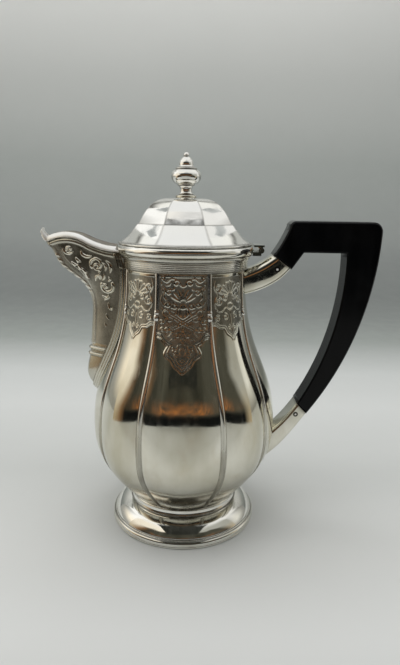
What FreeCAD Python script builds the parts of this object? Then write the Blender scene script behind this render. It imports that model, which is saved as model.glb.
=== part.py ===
import FreeCAD, Part
import math
import os
import Sketcher

# Coffee pot: eight-panelled pear body on a round foot, beaked spout, hinged lid with a finial,
# and a black wooden handle pinned into two metal sockets.
# The origin is the centre of the foot on the table, +Z is up, the spout points to -X.

# Driving dimensions, in millimetres and degrees. A rise or drop is counted from the level before it.
SIZES = {
    # foot: rim ring and hollow pedestal
    "foot_rim_height": 5.1, "foot_rim_land": 1.2, "foot_rim_bow": 0.8, "foot_rim_width": 3.8,
    "foot_rim_flare": 1.8, "flange_rise": 7.5, "flange_reach": 9.2, "pedestal_flange_bow": 1.9, "pedestal_step": 0.9,
    "cove_rise": 5.9, "pedestal_splay": 0.8, "pedestal_cove_bow": 0.7, "pedestal_wall": 1.3,
    "pedestal_top_inset": 0.4,
    # body: panel radius, rise, depth of the rib line and half angle of the wider panels
    "root_radius": 33.0, "root_lobe": 0.6, "root_angle": 24.5,
    "bowl_rise": 11.0, "bowl_radius": 43.0, "bowl_lobe": 1.2, "bowl_angle": 25.0,
    "hip_rise": 13.5, "hip_radius": 52.4, "hip_lobe": 1.8, "hip_angle": 25.5,
    "belly_rise": 21.0, "belly_radius": 56.3, "belly_lobe": 2.0, "belly_angle": 25.5,
    "chest_rise": 22.0, "chest_radius": 53.5, "chest_lobe": 1.8, "chest_angle": 25.3,
    "shoulder_rise": 24.0, "shoulder_radius": 44.4, "shoulder_lobe": 1.2, "shoulder_angle": 24.5,
    "throat_rise": 24.0, "throat_radius": 37.5, "throat_lobe": 0.4, "throat_angle": 23.5,
    "neck_rise": 25.7, "neck_radius": 35.6, "neck_lobe": 0.1, "neck_angle": 23.2,
    "rib_width": 2.8, "rib_height": 0.9, "body_wall": 1.0,
    # neck collar
    "collar_band_width": 5.8, "collar_bead_width": 4.4, "collar_band_step": 1.2, "collar_bead_step": 1.6,
    "collar_lip_step": 1.4, "collar_bead_bow": 0.5, "collar_cove_bow": 0.35,
    # spout: drop or rise, reach of the keel past its neighbour, half widths at the root plane and at the nose
    "spout_bury": 2.1, "spout_nose_depth": 1.1, "form_slack": 1.0, "spout_side_bow": 1.1, "spout_wall": 1.1,
    "toe_drop": 10.0, "toe_recess": 8.5, "toe_spread": 14.0, "toe_nose": 1.9,
    "heel_drop": 14.0, "heel_overhang": 2.7, "heel_spread": 15.0, "heel_nose": 2.2,
    "shin_drop": 22.0, "shin_step": 2.5, "shin_spread": 15.5, "shin_nose": 2.3,
    "knee_drop": 17.0, "knee_overhang": 20.5, "knee_spread": 13.0, "knee_nose": 2.5,
    "bend_drop": 9.0, "bend_step": 0.7, "bend_spread": 11.6, "bend_nose": 2.6,
    "rise_drop": 8.0, "rise_step": 6.4, "rise_spread": 11.3, "rise_nose": 2.6,
    "swell_drop": 9.0, "swell_step": 10.0, "swell_spread": 11.3, "swell_nose": 2.5,
    "brim_drop": 0.9, "brim_step": 5.2, "brim_spread": 11.4, "brim_nose": 2.4,
    "lip_rise": 7.0, "lip_step": 5.0, "lip_spread": 11.5, "lip_nose": 2.2,
    "beak_rise": 6.0, "beak_step": 0.2, "beak_spread": 11.5, "beak_nose": 2.1,
    "peak_rise": 6.0, "peak_recess": 3.6, "peak_spread": 11.5, "peak_nose": 2.1,
    # spout rim, seen from the side: an S curve from the beak through a dip and a crest to the body
    "rim_beak_recess": 0.2, "rim_beak_rise": 5.8, "rim_beak_bow": 1.1,
    "rim_dip_recess": 3.2, "rim_dip_drop": 3.0, "rim_dip_bow": 0.7,
    "rim_crest_recess": 14.6, "rim_crest_rise": 3.4, "rim_crest_bow": 0.8,
    "rim_turn_recess": 26.6, "rim_turn_rise": 4.6, "rim_turn_bow": 1.2,
    "rim_inner_overhang": 0.4, "rim_inner_rise": 1.7, "rim_depth": 3.4,
    "trim_proud": 1.2, "border_width": 3.4, "band_drop": 64.7, "band_bead": 2.1, "band_pitch": 3.6,
    # opening behind the spout and its strainer
    "window_margin": 7.7, "window_length": 34.0, "window_width": 15.0, "window_arch": 4.5,
    "strainer_hole": 2.6, "strainer_pitch": 4.4, "strainer_rows": 6, "strainer_columns": 3,
    # lid: rim, bezel, and the rises, insets and crowns of the dome's sections
    "lid_gap": 0.3, "lid_clearance": 0.6, "lid_rim_height": 4.2, "lid_rim_inset": 0.2, "lid_rim_bow": 0.8,
    "bezel_clearance": 0.55, "bezel_wall": 1.0, "bezel_depth": 4.5,
    "lid_wall": 1.0, "lid_angle": 22.5, "lid_step": 0.5,
    "skirt_inset": 0.4, "skirt_crown": 0,
    "flare_rise": 3.8, "flare_inset": 5.8, "flare_crown": 0.03,
    "waist_rise": 6.6, "waist_inset": 6.7, "waist_crown": 0.055,
    "dome_rise": 5.4, "dome_inset": 2.7, "dome_crown": 0.06,
    "cap_rise": 5.4, "cap_inset": 3.7, "cap_crown": 0.06,
    "brow_rise": 2.6, "brow_inset": 4.3, "brow_crown": 0.06,
    "top_rise": 1.0, "top_inset": 4.4, "top_crown": 0.06,
    # finial
    "finial_collar_radius": 6.1, "finial_collar_height": 1.9, "finial_collar_edge": 0.6,
    "stud_radius": 1.6, "stud_length": 6.0, "nut_radius": 3.6, "nut_height": 2.6,
    "stem_foot_radius": 4.2, "stem_radius": 3.4, "stem_rise": 2.5, "stem_bow": 0.35,
    "urn_base_rise": 3.0, "urn_base_radius": 4.6, "urn_lower_bow": 0.9, "urn_rise": 4.6, "urn_radius": 8.7,
    "urn_upper_bow": 0.5, "urn_top_rise": 3.8, "urn_top_radius": 6.9, "groove_depth": 0.9, "groove_height": 0.6,
    "bell_shoulder_radius": 6.3, "shoulder_bow": 0.3, "bell_rise": 1.8, "bell_radius": 3.9, "bell_bow": 0.3,
    "bell_top_rise": 5.0, "bell_top_radius": 1.9, "tip_neck_rise": 0.5, "tip_neck_radius": 1.0,
    "tip_rise": 0.8, "tip_radius": 1.15, "tip_lower_bow": 0.1, "tip_upper_bow": 0.25,
    "finial_top_rise": 1.1, "tip_flat": 0.3,
    # hinge
    "hinge_offset": 4.4, "hinge_lift": 0.5, "knuckle_radius": 1.7, "hinge_length": 13.0,
    "lid_knuckle_length": 4.4, "knuckle_gap": 0.2, "hinge_pin_radius": 0.9, "hinge_pin_fit": 0.05,
    "leaf_thickness": 1.1, "leaf_clearance": 0.3, "leaf_overhang": 1.8, "leaf_lap": 3.8,
    # handle, seen from the side
    "grip_thickness": 16.0, "grip_chamfer": 0.9,
    "upper_end_offset": 15.6, "upper_end_rise": 8.1, "upper_end_run": 10.9, "upper_end_fall": 8.0,
    "bar_under_offset": 6.7, "bar_under_rise": 9.8, "bar_under_length": 24.9,
    "lower_end_offset": 13.4, "lower_end_rise": 13.1, "lower_end_run": 6.2, "lower_end_fall": 6.5,
    "inner_bow": 7.0, "outer_bow": 10.1, "slant_bow": 0.8, "grip_depth": 19.7, "bar_height": 17.9,
    "slant_run": 10.1, "outer_corner_radius": 6.0, "slant_corner_radius": 4.0,
    # sockets, tenons and their pins
    "upper_socket_bury": 2.6, "upper_socket_drop": 1.7, "upper_socket_depth": 14.4, "upper_socket_bow": 0.7,
    "upper_socket_knee_offset": 15.2, "upper_socket_knee_rise": 6.6,
    "upper_socket_brow_offset": 5.8, "upper_socket_brow_rise": 3.7, "upper_socket_rounding": 4.5,
    "lower_socket_bury": 7.3, "lower_socket_drop": 24.6, "lower_socket_depth": 14.4,
    "lower_socket_low_bow": 0.9, "lower_socket_high_bow": 0.7, "lower_socket_rounding": 2.4,
    "tenon_length": 11.0, "tenon_thickness": 8.0, "upper_tenon_width": 7.0, "lower_tenon_width": 4.6,
    "tenon_seat": 2.0, "pin_inset": 5.0, "pin_radius": 1.1, "pin_proud": 0.3,
}
# Dimensions that follow from those above.
DERIVED = {
    "pedestal_step_height": "foot_rim_height + flange_rise",
    "root_height": "pedestal_step_height + cove_rise",
    "bowl_height": "root_height + bowl_rise",
    "hip_height": "bowl_height + hip_rise",
    "belly_height": "hip_height + belly_rise",
    "chest_height": "belly_height + chest_rise",
    "shoulder_height": "chest_height + shoulder_rise",
    "throat_height": "shoulder_height + throat_rise",
    "neck_height": "throat_height + neck_rise",
    "pedestal_top_radius": "root_radius - pedestal_top_inset",
    "pedestal_neck_radius": "pedestal_top_radius + pedestal_splay",
    "foot_rim_top_radius": "pedestal_neck_radius + pedestal_step + flange_reach",
    "foot_radius": "foot_rim_top_radius + foot_rim_flare",
    "collar_bead_height": "neck_height + collar_band_width",
    "collar_top": "collar_bead_height + collar_bead_width",
    "collar_band_radius": "neck_radius + collar_band_step",
    "collar_bead_radius": "collar_band_radius + collar_bead_step",
    "collar_lip_radius": "collar_bead_radius + collar_lip_step",
    "spout_root": "neck_radius - spout_bury",
    "brim_height": "collar_top - brim_drop",
    "swell_height": "brim_height - swell_drop",
    "rise_height": "swell_height - rise_drop",
    "bend_height": "rise_height - bend_drop",
    "knee_height": "bend_height - knee_drop",
    "shin_height": "knee_height - shin_drop",
    "heel_height": "shin_height - heel_drop",
    "toe_height": "heel_height - toe_drop",
    "lip_height": "brim_height + lip_rise",
    "beak_height": "lip_height + beak_rise",
    "peak_height": "beak_height + peak_rise",
    "knee_reach": "neck_radius + knee_overhang",
    "shin_reach": "knee_reach + shin_step",
    "heel_reach": "belly_radius + heel_overhang",
    "toe_reach": "heel_reach - toe_recess",
    "bend_reach": "knee_reach + bend_step",
    "rise_reach": "bend_reach + rise_step",
    "swell_reach": "rise_reach + swell_step",
    "brim_reach": "swell_reach + brim_step",
    "lip_reach": "brim_reach + lip_step",
    "beak_reach": "lip_reach + beak_step",
    "peak_reach": "beak_reach - peak_recess",
    "rim_inner_reach": "neck_radius + rim_inner_overhang",
    "rim_inner_height": "collar_top + rim_inner_rise",
    "rim_turn_reach": "beak_reach - rim_turn_recess",
    "rim_turn_height": "rim_inner_height + rim_turn_rise",
    "rim_crest_reach": "beak_reach - rim_crest_recess",
    "rim_crest_height": "rim_turn_height + rim_crest_rise",
    "rim_dip_reach": "beak_reach - rim_dip_recess",
    "rim_dip_height": "rim_crest_height - rim_dip_drop",
    "rim_beak_reach": "beak_reach - rim_beak_recess",
    "rim_beak_height": "rim_dip_height + rim_beak_rise",
    "band_height": "collar_top - band_drop",
    "window_top": "neck_height - window_margin",
    "window_bottom": "window_top - window_length",
    "lid_rim_top": "collar_top + lid_gap + lid_rim_height",
    "lid_rim_radius": "collar_lip_radius - lid_rim_inset",
    "skirt_height": "lid_rim_top",
    "flare_height": "skirt_height + flare_rise",
    "waist_height": "flare_height + waist_rise",
    "dome_height": "waist_height + dome_rise",
    "cap_height": "dome_height + cap_rise",
    "brow_height": "cap_height + brow_rise",
    "top_height": "brow_height + top_rise",
    "skirt_radius": "lid_rim_radius - skirt_inset",
    "flare_radius": "skirt_radius - flare_inset",
    "waist_radius": "flare_radius - waist_inset",
    "dome_radius": "waist_radius - dome_inset",
    "cap_radius": "dome_radius - cap_inset",
    "brow_radius": "cap_radius - brow_inset",
    "top_radius": "brow_radius - top_inset",
    "stem_height": "top_height + finial_collar_height + stem_rise",
    "urn_base_height": "stem_height + urn_base_rise",
    "urn_height": "urn_base_height + urn_rise",
    "urn_top_height": "urn_height + urn_top_rise",
    "bell_height": "urn_top_height + groove_height + bell_rise",
    "bell_top_height": "bell_height + bell_top_rise",
    "tip_neck_height": "bell_top_height + tip_neck_rise",
    "tip_height": "tip_neck_height + tip_rise",
    "finial_top": "tip_height + finial_top_rise",
    "hinge_reach": "collar_lip_radius + hinge_offset",
    "hinge_level": "collar_top + hinge_lift",
    "leaf_root": "collar_lip_radius - leaf_lap",
    "upper_end_top_reach": "neck_radius + upper_end_offset",
    "upper_end_top_height": "neck_height + upper_end_rise",
    "upper_end_low_reach": "upper_end_top_reach + upper_end_run",
    "upper_end_low_height": "upper_end_top_height - upper_end_fall",
    "bar_under_start": "upper_end_low_reach + bar_under_offset",
    "bar_under_end": "bar_under_start + bar_under_length",
    "bar_under_height": "upper_end_low_height + bar_under_rise",
    "handle_reach": "bar_under_end + grip_depth",
    "handle_top": "bar_under_height + bar_height",
    "slant_reach": "upper_end_top_reach + slant_run",
    "lower_end_top_reach": "belly_radius + lower_end_offset",
    "lower_end_top_height": "belly_height + lower_end_rise",
    "lower_end_low_reach": "lower_end_top_reach + lower_end_run",
    "lower_end_low_height": "lower_end_top_height - lower_end_fall",
    "upper_socket_root": "neck_radius - upper_socket_bury",
    "upper_socket_high": "neck_height - upper_socket_drop",
    "upper_socket_low": "upper_socket_high - upper_socket_depth",
    "upper_socket_knee_reach": "neck_radius + upper_socket_knee_offset",
    "upper_socket_knee_height": "upper_socket_low + upper_socket_knee_rise",
    "upper_socket_brow_reach": "neck_radius + upper_socket_brow_offset",
    "upper_socket_brow_height": "upper_socket_high + upper_socket_brow_rise",
    "lower_socket_root": "belly_radius - lower_socket_bury",
    "lower_socket_low": "belly_height - lower_socket_drop",
    "lower_socket_high": "lower_socket_low + lower_socket_depth",
}
BODY_LEVELS = ("root", "bowl", "hip", "belly", "chest", "shoulder", "throat", "neck")
SPOUT_LEVELS = ("toe", "heel", "shin", "knee", "bend", "rise", "swell", "brim", "lip", "beak", "peak")
LID_LEVELS = ("skirt", "flare", "waist", "dome", "cap", "brow", "top")
# Inside of the lid: how many walls each section is drawn in and lowered by.
LID_INSIDE = (("skirt", 1.0, 0), ("flare", 1.3, 0), ("waist", 1.1, 0.2), ("dome", 0.9, 0.4),
              ("cap", 0.8, 0.6), ("brow", 0.5, 0.9), ("top", 0.2, 1.0))
BAND_BEADS = 2
NUT_SIDES = 6
HALF_DIAGONAL = math.sqrt(0.5)
FULL_TURN = 360
QUARTER_TURN = 90
QUARTERS = FULL_TURN // QUARTER_TURN
NEAR = 0.001

doc = FreeCAD.newDocument("coffee_pot")
sheet = doc.addObject("Spreadsheet::Sheet", "sizes")
entries = {alias: str(number) for alias, number in SIZES.items()}
entries.update({alias: f"={formula}" for alias, formula in DERIVED.items()})
for row, (alias, entry) in enumerate(entries.items(), start=1):
    sheet.set(f"A{row}", alias)
    sheet.set(f"B{row}", entry)
    sheet.setAlias(f"B{row}", alias)
doc.recompute()


class Size:
    """A number taken from the sheet, with the expression that yields it."""

    def __init__(self, value, text):
        self.value = value
        self.text = text

    def __add__(self, other):
        other = as_size(other)
        return Size(self.value + other.value, f"({self.text} + {other.text})")

    def __sub__(self, other):
        other = as_size(other)
        return Size(self.value - other.value, f"({self.text} - {other.text})")

    def __mul__(self, other):
        other = as_size(other)
        return Size(self.value * other.value, f"({self.text} * {other.text})")

    def __truediv__(self, other):
        other = as_size(other)
        return Size(self.value / other.value, f"({self.text} / {other.text})")

    def __neg__(self):
        return Size(-self.value, f"(-1 * {self.text})")

    __radd__ = __add__
    __rmul__ = __mul__


def as_size(number):
    if isinstance(number, Size):
        return number
    return Size(float(number), f"({number})")


def size(alias):
    return Size(float(sheet.get(alias)), f"sizes.{alias}")


def sine(angle):
    return Size(math.sin(math.radians(angle.value)), f"sin({angle.text})")


def cosine(angle):
    return Size(math.cos(math.radians(angle.value)), f"cos({angle.text})")


def square_root(number):
    return Size(math.sqrt(number.value), f"sqrt({number.text})")


def new_body(name):
    return doc.addObject("PartDesign::Body", name)


def new_sketch(body, name, role, lift=None):
    sketch = body.newObject("Sketcher::SketchObject", name)
    plane = next(item for item in body.Origin.OriginFeatures if item.Role == role)
    sketch.AttachmentSupport = [(plane, "")]
    sketch.MapMode = "FlatFace"
    if lift is not None:
        sketch.setExpression("AttachmentOffset.Base.z", lift.text)
    return sketch


def draw_outline(sketch, corners):
    """Closed outline, counter-clockwise. A corner is (x, y, bow): bow is how far the edge to the next
    corner swells out of its chord, negative where it is hollow and None where it is straight."""
    geometry, ends, bound = [], [], []
    for index, (x, y, bow) in enumerate(corners):
        next_x, next_y = corners[(index + 1) % len(corners)][:2]
        start = FreeCAD.Vector(x.value, y.value, 0)
        stop = FreeCAD.Vector(next_x.value, next_y.value, 0)
        if bow is None:
            geometry.append(Part.LineSegment(start, stop))
            ends.append((1, 2))
            continue
        chord = stop - start
        outward = FreeCAD.Vector(chord.y, -chord.x, 0).normalize()
        middle = (start + stop) * 0.5 + outward * bow.value
        swells = bow.value > 0
        geometry.append(Part.Arc(start, middle, stop) if swells else Part.Arc(stop, middle, start))
        ends.append((1, 2) if swells else (2, 1))
        run, climb = next_x - x, next_y - y
        height = bow if swells else -bow
        radius = ((run * run + climb * climb) / 4 + height * height) / (height * 2)
        bound.append(("Radius", (index,), radius))
    sketch.addGeometry(geometry, False)
    joints = []
    for index, (x, y, bow) in enumerate(corners):
        before = index - 1 if index else len(corners) - 1
        joints.append(Sketcher.Constraint("Coincident", before, ends[before][1], index, ends[index][0]))
        bound.append(("DistanceX", (-1, 1, index, ends[index][0]), x))
        bound.append(("DistanceY", (-1, 1, index, ends[index][0]), y))
    sketch.addConstraint(joints)
    first = len(joints)
    sketch.addConstraint([Sketcher.Constraint(kind, *where, value.value) for kind, where, value in bound])
    for offset, (kind, where, value) in enumerate(bound):
        sketch.setExpression(f"Constraints[{first + offset}]", value.text)


def loft(body, name, sketches):
    feature = body.newObject("PartDesign::AdditiveLoft", name)
    feature.Profile = sketches[0]
    feature.Sections = sketches[1:]
    return feature


def revolve(name, corners):
    body = new_body(name)
    sketch = new_sketch(body, f"{name}_profile", "XZ_Plane")
    draw_outline(sketch, corners)
    feature = body.newObject("PartDesign::Revolution", f"{name}_turned")
    feature.Profile = sketch
    feature.ReferenceAxis = (sketch, ["V_Axis"])
    feature.Angle = FULL_TURN
    return body


def pad_sideways(name, corners, thickness):
    """Plate with its outline in the X-Z plane, half its thickness on each side of that plane."""
    body = new_body(name)
    sketch = new_sketch(body, f"{name}_outline", "XZ_Plane")
    draw_outline(sketch, corners)
    feature = body.newObject("PartDesign::Pad", f"{name}_pad")
    feature.Profile = sketch
    feature.SideType = "Symmetric"
    feature.setExpression("Length", thickness.text)
    return body


def ease_edges(body, kind, prop, amount, skipped):
    """Fillet or chamfer both outlines of a plate, leaving the flat ends given by their two corners."""
    doc.recompute()
    base = body.Tip
    chosen = []
    for number, edge in enumerate(base.Shape.Edges, start=1):
        places = [(point.X, point.Z) for point in edge.Vertexes]
        across = abs(edge.Vertexes[0].Y - edge.Vertexes[-1].Y)
        is_end = any(all(min(math.dist(place, corner) for corner in end) < NEAR for place in places)
                     for end in skipped)
        if across < NEAR and not is_end:
            chosen.append(f"Edge{number}")
    feature = body.newObject(f"PartDesign::{kind}", f"{body.Name}_{kind.lower()}")
    feature.Base = (base, chosen)
    feature.setExpression(prop, amount.text)
    return feature


def round_corner(body, corner, radius):
    """Fillet the edge of a plate that stands on one corner of its outline."""
    doc.recompute()
    base = body.Tip
    spot = (corner[0].value, corner[1].value)
    chosen = [f"Edge{number}" for number, edge in enumerate(base.Shape.Edges, start=1)
              if all(math.dist((end.X, end.Z), spot) < NEAR for end in edge.Vertexes)]
    feature = body.newObject("PartDesign::Fillet", f"{body.Name}_corner")
    feature.Base = (base, chosen)
    feature.setExpression("Radius", radius.text)


def place(item, x, y, z):
    for axis, value in zip("xyz", (x, y, z)):
        item.setExpression(f"Placement.Base.{axis}", as_size(value).text)


def box(name, x_range, y_range, z_range):
    item = doc.addObject("Part::Box", name)
    for prop, (low, high) in zip(("Length", "Width", "Height"), (x_range, y_range, z_range)):
        item.setExpression(prop, (as_size(high) - low).text)
    place(item, x_range[0], y_range[0], z_range[0])
    return item


def rod_across(name, radius, x, z, y_range):
    """Round rod that runs along +Y."""
    item = doc.addObject("Part::Cylinder", name)
    item.setExpression("Radius", as_size(radius).text)
    item.setExpression("Height", (as_size(y_range[1]) - y_range[0]).text)
    item.Placement.Rotation = FreeCAD.Rotation(FreeCAD.Vector(1, 0, 0), -QUARTER_TURN)
    place(item, x, y_range[0], z)
    return item


def cut(name, base, *tools):
    for index, tool in enumerate(tools, start=1):
        item = doc.addObject("Part::Cut", name if index == len(tools) else f"{name}_cut{index}")
        item.Base = base
        item.Tool = tool
        base = item
    return base


def common(name, first, second):
    item = doc.addObject("Part::Common", name)
    item.Base = first
    item.Tool = second
    return item


def fuse(name, pieces):
    item = doc.addObject("Part::MultiFuse", name)
    item.Shapes = pieces
    return item


# Section of the eight-panelled forms: the panels on the axes and those between them, with a raised
# half-round rib on each of the eight lines where a rib height is given.
def panel_corners(radius, corner, angle, half_rib=None, rib_height=None):
    along, aside = corner * cosine(angle), corner * sine(angle)
    if half_rib is None:
        axis_bow = radius - along
        between_bow = radius - (along + aside) * HALF_DIAGONAL
        quarter = [(along, aside, between_bow), (aside, along, axis_bow)]
    else:
        near = (along + half_rib * sine(angle), aside - half_rib * cosine(angle))
        far = (along - half_rib * sine(angle), aside + half_rib * cosine(angle))
        axis_bow = radius - near[0]
        between_bow = radius - (far[0] + far[1]) * HALF_DIAGONAL
        quarter = [(*near, rib_height), (*far, between_bow),
                   (far[1], far[0], rib_height), (near[1], near[0], axis_bow)]
    corners = []
    for _ in range(QUARTERS):
        corners.extend(quarter)
        quarter = [(-y, x, bow) for x, y, bow in quarter]
    return corners


def draw_sections(body, name, sections):
    sketches = []
    for index, (height, corners) in enumerate(sections):
        sketch = new_sketch(body, f"{name}_section{index}", "XY_Plane", height)
        draw_outline(sketch, corners)
        sketches.append(sketch)
    return sketches


def panel_form(name, sections):
    """Loft through (height, corners) sections."""
    body = new_body(name)
    loft(body, f"{name}_loft", draw_sections(body, name, sections))
    return body


def body_section(level, offset, ribs=False):
    radius = size(f"{level}_radius") + offset
    corner = radius - size(f"{level}_lobe")
    angle = size(f"{level}_angle")
    if ribs:
        return panel_corners(radius, corner, angle, size("rib_width") / 2, size("rib_height"))
    return panel_corners(radius, corner, angle)


def spout_section(level, offset, slack):
    """Boat-shaped section: flat root inside the body, two swelling sides and a narrow nose."""
    root = slack - size("spout_root")
    spread = size(f"{level}_spread") + offset
    nose = size(f"{level}_nose") + offset / 2
    depth = size("spout_nose_depth")
    front = depth - size(f"{level}_reach") - offset
    bow = size("spout_side_bow")
    return [(root, -spread, None), (root, spread, bow), (front, nose, depth), (front, -nose, bow)]


def spout_form(name, offset, slack):
    """Loft of the spout, drawn in or out by an offset and lengthened by a slack at its root and top."""
    sections = [(size(f"{level}_height"), spout_section(level, offset, slack)) for level in SPOUT_LEVELS]
    top_height, top_corners = sections.pop()
    return panel_form(name, sections + [(top_height + slack, top_corners)])


RIM_STOPS = ("beak", "dip", "crest", "turn", "inner")
RIM_SIDES = (1, -1, -1, 1)


def rim_line(drop):
    """S curve of the spout rim from the beak to the body, lowered by a drop."""
    line = []
    for stop, side in zip(RIM_STOPS, RIM_SIDES + (None,)):
        bow = None if side is None else size(f"rim_{stop}_bow") * side
        line.append((-size(f"rim_{stop}_reach"), size(f"rim_{stop}_height") - drop, bow))
    return line


def lid_section(level, inset, drop):
    """Section of the lid, round at the skirt and eight-sided above it."""
    radius = size(f"{level}_radius") - inset
    corner = radius * (size(f"{level}_crown") + 1)
    return (size(f"{level}_height") - drop, panel_corners(radius, corner, size("lid_angle")))


def point(alias):
    return (size(f"{alias}_reach"), size(f"{alias}_height"))


def plain(corners):
    return [(x.value, z.value) for x, z in corners]


def tenon(name, end, width):
    """Tongue on the middle of a handle end, and the place of the pin that crosses it."""
    (top_x, top_z), (low_x, low_z) = end
    run, fall = low_x - top_x, low_z - top_z
    span = square_root(run * run + fall * fall)
    along = (run / span, fall / span)
    inward = (along[1], -along[0])
    middle = ((top_x + low_x) / 2, (top_z + low_z) / 2)

    def spot(sideways, depth):
        return tuple(middle[axis] + along[axis] * sideways + inward[axis] * depth for axis in (0, 1))

    half, seat, length = width / 2, -size("tenon_seat"), size("tenon_length")
    corners = [spot(-half, seat), spot(-half, length), spot(half, length), spot(half, seat)]
    body = pad_sideways(name, [(x, z, None) for x, z in corners], size("tenon_thickness"))
    return body, spot(as_size(0), size("pin_inset"))


nodes = {}

# Body shell
wall = size("body_wall")
pot_form = panel_form("pot_form", [(size(f"{level}_height"), body_section(level, as_size(0), True))
                                   for level in BODY_LEVELS])
floor_section = (size("root_height") + wall, body_section("root", -wall / 2))
pot_hollow = panel_form("pot_hollow", [floor_section] + [
    (size(f"{level}_height"), body_section(level, -wall)) for level in BODY_LEVELS[1:]])
pot_wall = cut("pot_wall", pot_form, pot_hollow)

# Upright slot through the wall behind the spout, and the pierced plate that fills it
window_half = size("window_width") / 2
window_arch = size("window_arch")
window_low = size("window_bottom") + window_arch
window_high = size("window_top") - window_arch
window = new_body("spout_window")
window_sketch = new_sketch(window, "spout_window_outline", "YZ_Plane")
draw_outline(window_sketch, [(-window_half, window_low, window_arch), (window_half, window_low, None),
                             (window_half, window_high, window_arch), (-window_half, window_high, None)])
window_pad = window.newObject("PartDesign::Pad", "spout_window_pad")
window_pad.Profile = window_sketch
window_pad.Reversed = True
window_pad.setExpression("Length", size("belly_radius").text)
nodes["body_shell"] = cut("body_shell", pot_wall, window)

strainer_holes = []
rows, columns = int(SIZES["strainer_rows"]), int(SIZES["strainer_columns"])
for row in range(rows):
    for column in range(columns):
        hole = doc.addObject("Part::Cylinder", f"strainer_hole_{row}_{column}")
        hole.setExpression("Radius", (size("strainer_hole") / 2).text)
        hole.setExpression("Height", size("belly_radius").text)
        hole.Placement.Rotation = FreeCAD.Rotation(FreeCAD.Vector(0, 1, 0), -QUARTER_TURN)
        middle = (size("window_bottom") + size("window_top")) / 2
        place(hole, 0, size("strainer_pitch") * (column - (columns - 1) / 2),
              middle + size("strainer_pitch") * (row - (rows - 1) / 2))
        strainer_holes.append(hole)
strainer_blank = common("strainer_blank", pot_wall, window)
nodes["spout_strainer"] = cut("spout_strainer", strainer_blank, fuse("strainer_piercing", strainer_holes))

# Neck collar, a turned ring on top of the shell
neck, bead, top = size("neck_height"), size("collar_bead_height"), size("collar_top")
bore = size("neck_radius") - wall
band_radius, bead_radius = size("collar_band_radius"), size("collar_bead_radius")
lip_radius = size("collar_lip_radius")
collar_outside = [(band_radius, neck, -size("collar_cove_bow")), (bead_radius, bead, size("collar_bead_bow")),
                  (lip_radius, top, None)]
nodes["neck_collar"] = revolve("neck_collar", [(bore, neck, None)] + collar_outside + [(bore, top, None)])
axis = as_size(0)
collar_form = revolve("collar_form", [(axis, neck, None)] + collar_outside + [(axis, top, None)])

# Foot: hollow pedestal on a solid rim
pedestal_wall = size("pedestal_wall")
root, step_level, rim_level = size("root_height"), size("pedestal_step_height"), size("foot_rim_height")
top_radius, neck_radius = size("pedestal_top_radius"), size("pedestal_neck_radius")
step_radius, rim_radius = neck_radius + size("pedestal_step"), size("foot_rim_top_radius")
cove_bow, flange_bow = size("pedestal_cove_bow"), size("pedestal_flange_bow")
nodes["foot_pedestal"] = revolve("foot_pedestal", [
    (rim_radius - pedestal_wall, rim_level, None), (rim_radius, rim_level, flange_bow),
    (step_radius, step_level, None), (neck_radius, step_level, -cove_bow), (top_radius, root, None),
    (top_radius - pedestal_wall, root, cove_bow), (neck_radius - pedestal_wall, step_level, None),
    (step_radius - pedestal_wall, step_level - pedestal_wall, -flange_bow)])
foot_radius, land = size("foot_radius"), size("foot_rim_land")
rim_bore = rim_radius - size("foot_rim_width")
nodes["foot_rim"] = revolve("foot_rim", [
    (rim_bore, axis, None), (foot_radius, axis, None), (foot_radius, land, size("foot_rim_bow")),
    (rim_radius, rim_level, None), (rim_bore, rim_level, None)])

# Spout shell, and the layer of applied trim on its outside
lid_room = size("lid_rim_radius") + size("lid_rim_bow") + size("lid_clearance")
lid_space = revolve("lid_space", [(axis, top, None), (lid_room, top, None),
                                  (lid_room, size("finial_top"), None), (axis, size("finial_top"), None)])
form_slack = size("form_slack")
spout_solid = spout_form("spout_solid", axis, axis)
spout_hollow = spout_form("spout_hollow", -size("spout_wall"), form_slack)
trim_form = spout_form("trim_form", size("trim_proud"), form_slack)

trim_width = (size("shin_spread") + size("trim_proud") + size("spout_side_bow")) * 2
far_reach = size("beak_reach") + size("trim_proud") + size("form_slack")
sky = size("peak_height") + size("trim_proud")
rim_depth = size("rim_depth")
rim_end = -size("rim_inner_reach")
beak_height = size("rim_beak_height")
band_low = size("rim_dip_height") - rim_depth
above_rim = pad_sideways("above_rim", [(-far_reach, beak_height, None)] + rim_line(as_size(0)) + [
    (rim_end, sky, None), (-far_reach, sky, None)], trim_width)
above_band = pad_sideways("above_band", [(-far_reach, band_low, None)] + rim_line(rim_depth)[1:] + [
    (rim_end, sky, None), (-far_reach, sky, None)], trim_width)
nodes["spout_shell"] = cut("spout_shell", spout_solid, spout_hollow, pot_form, collar_form, lid_space,
                           above_rim)

trim_layer = cut("trim_layer", trim_form, spout_solid, pot_form, collar_form, lid_space)
nodes["spout_rim"] = cut("spout_rim", common("spout_rim_blank", trim_layer, above_band), above_rim)

border_width = size("border_width")
border_body = panel_form("border_body", [(size(f"{level}_height"), body_section(level, border_width))
                                         for level in BODY_LEVELS])
border_neck = revolve("border_neck", [(axis, neck, None), (size("neck_radius") + border_width, neck, None),
                                      (size("neck_radius") + border_width, top, None), (axis, top, None)])
border_form = fuse("border_form", [border_body, border_neck])
nodes["spout_border"] = cut("spout_border", common("spout_border_blank", trim_layer, border_form), above_band)

beads = []
for index in range(BAND_BEADS):
    low = size("band_height") + size("band_pitch") * index
    beads.append(box(f"spout_bead_{index}", (-far_reach, axis), (-trim_width / 2, trim_width / 2),
                     (low, low + size("band_bead"))))
band_blank = common("spout_band_blank", trim_layer, fuse("spout_beads", beads))
nodes["spout_band"] = cut("spout_band", band_blank, border_form)

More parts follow.
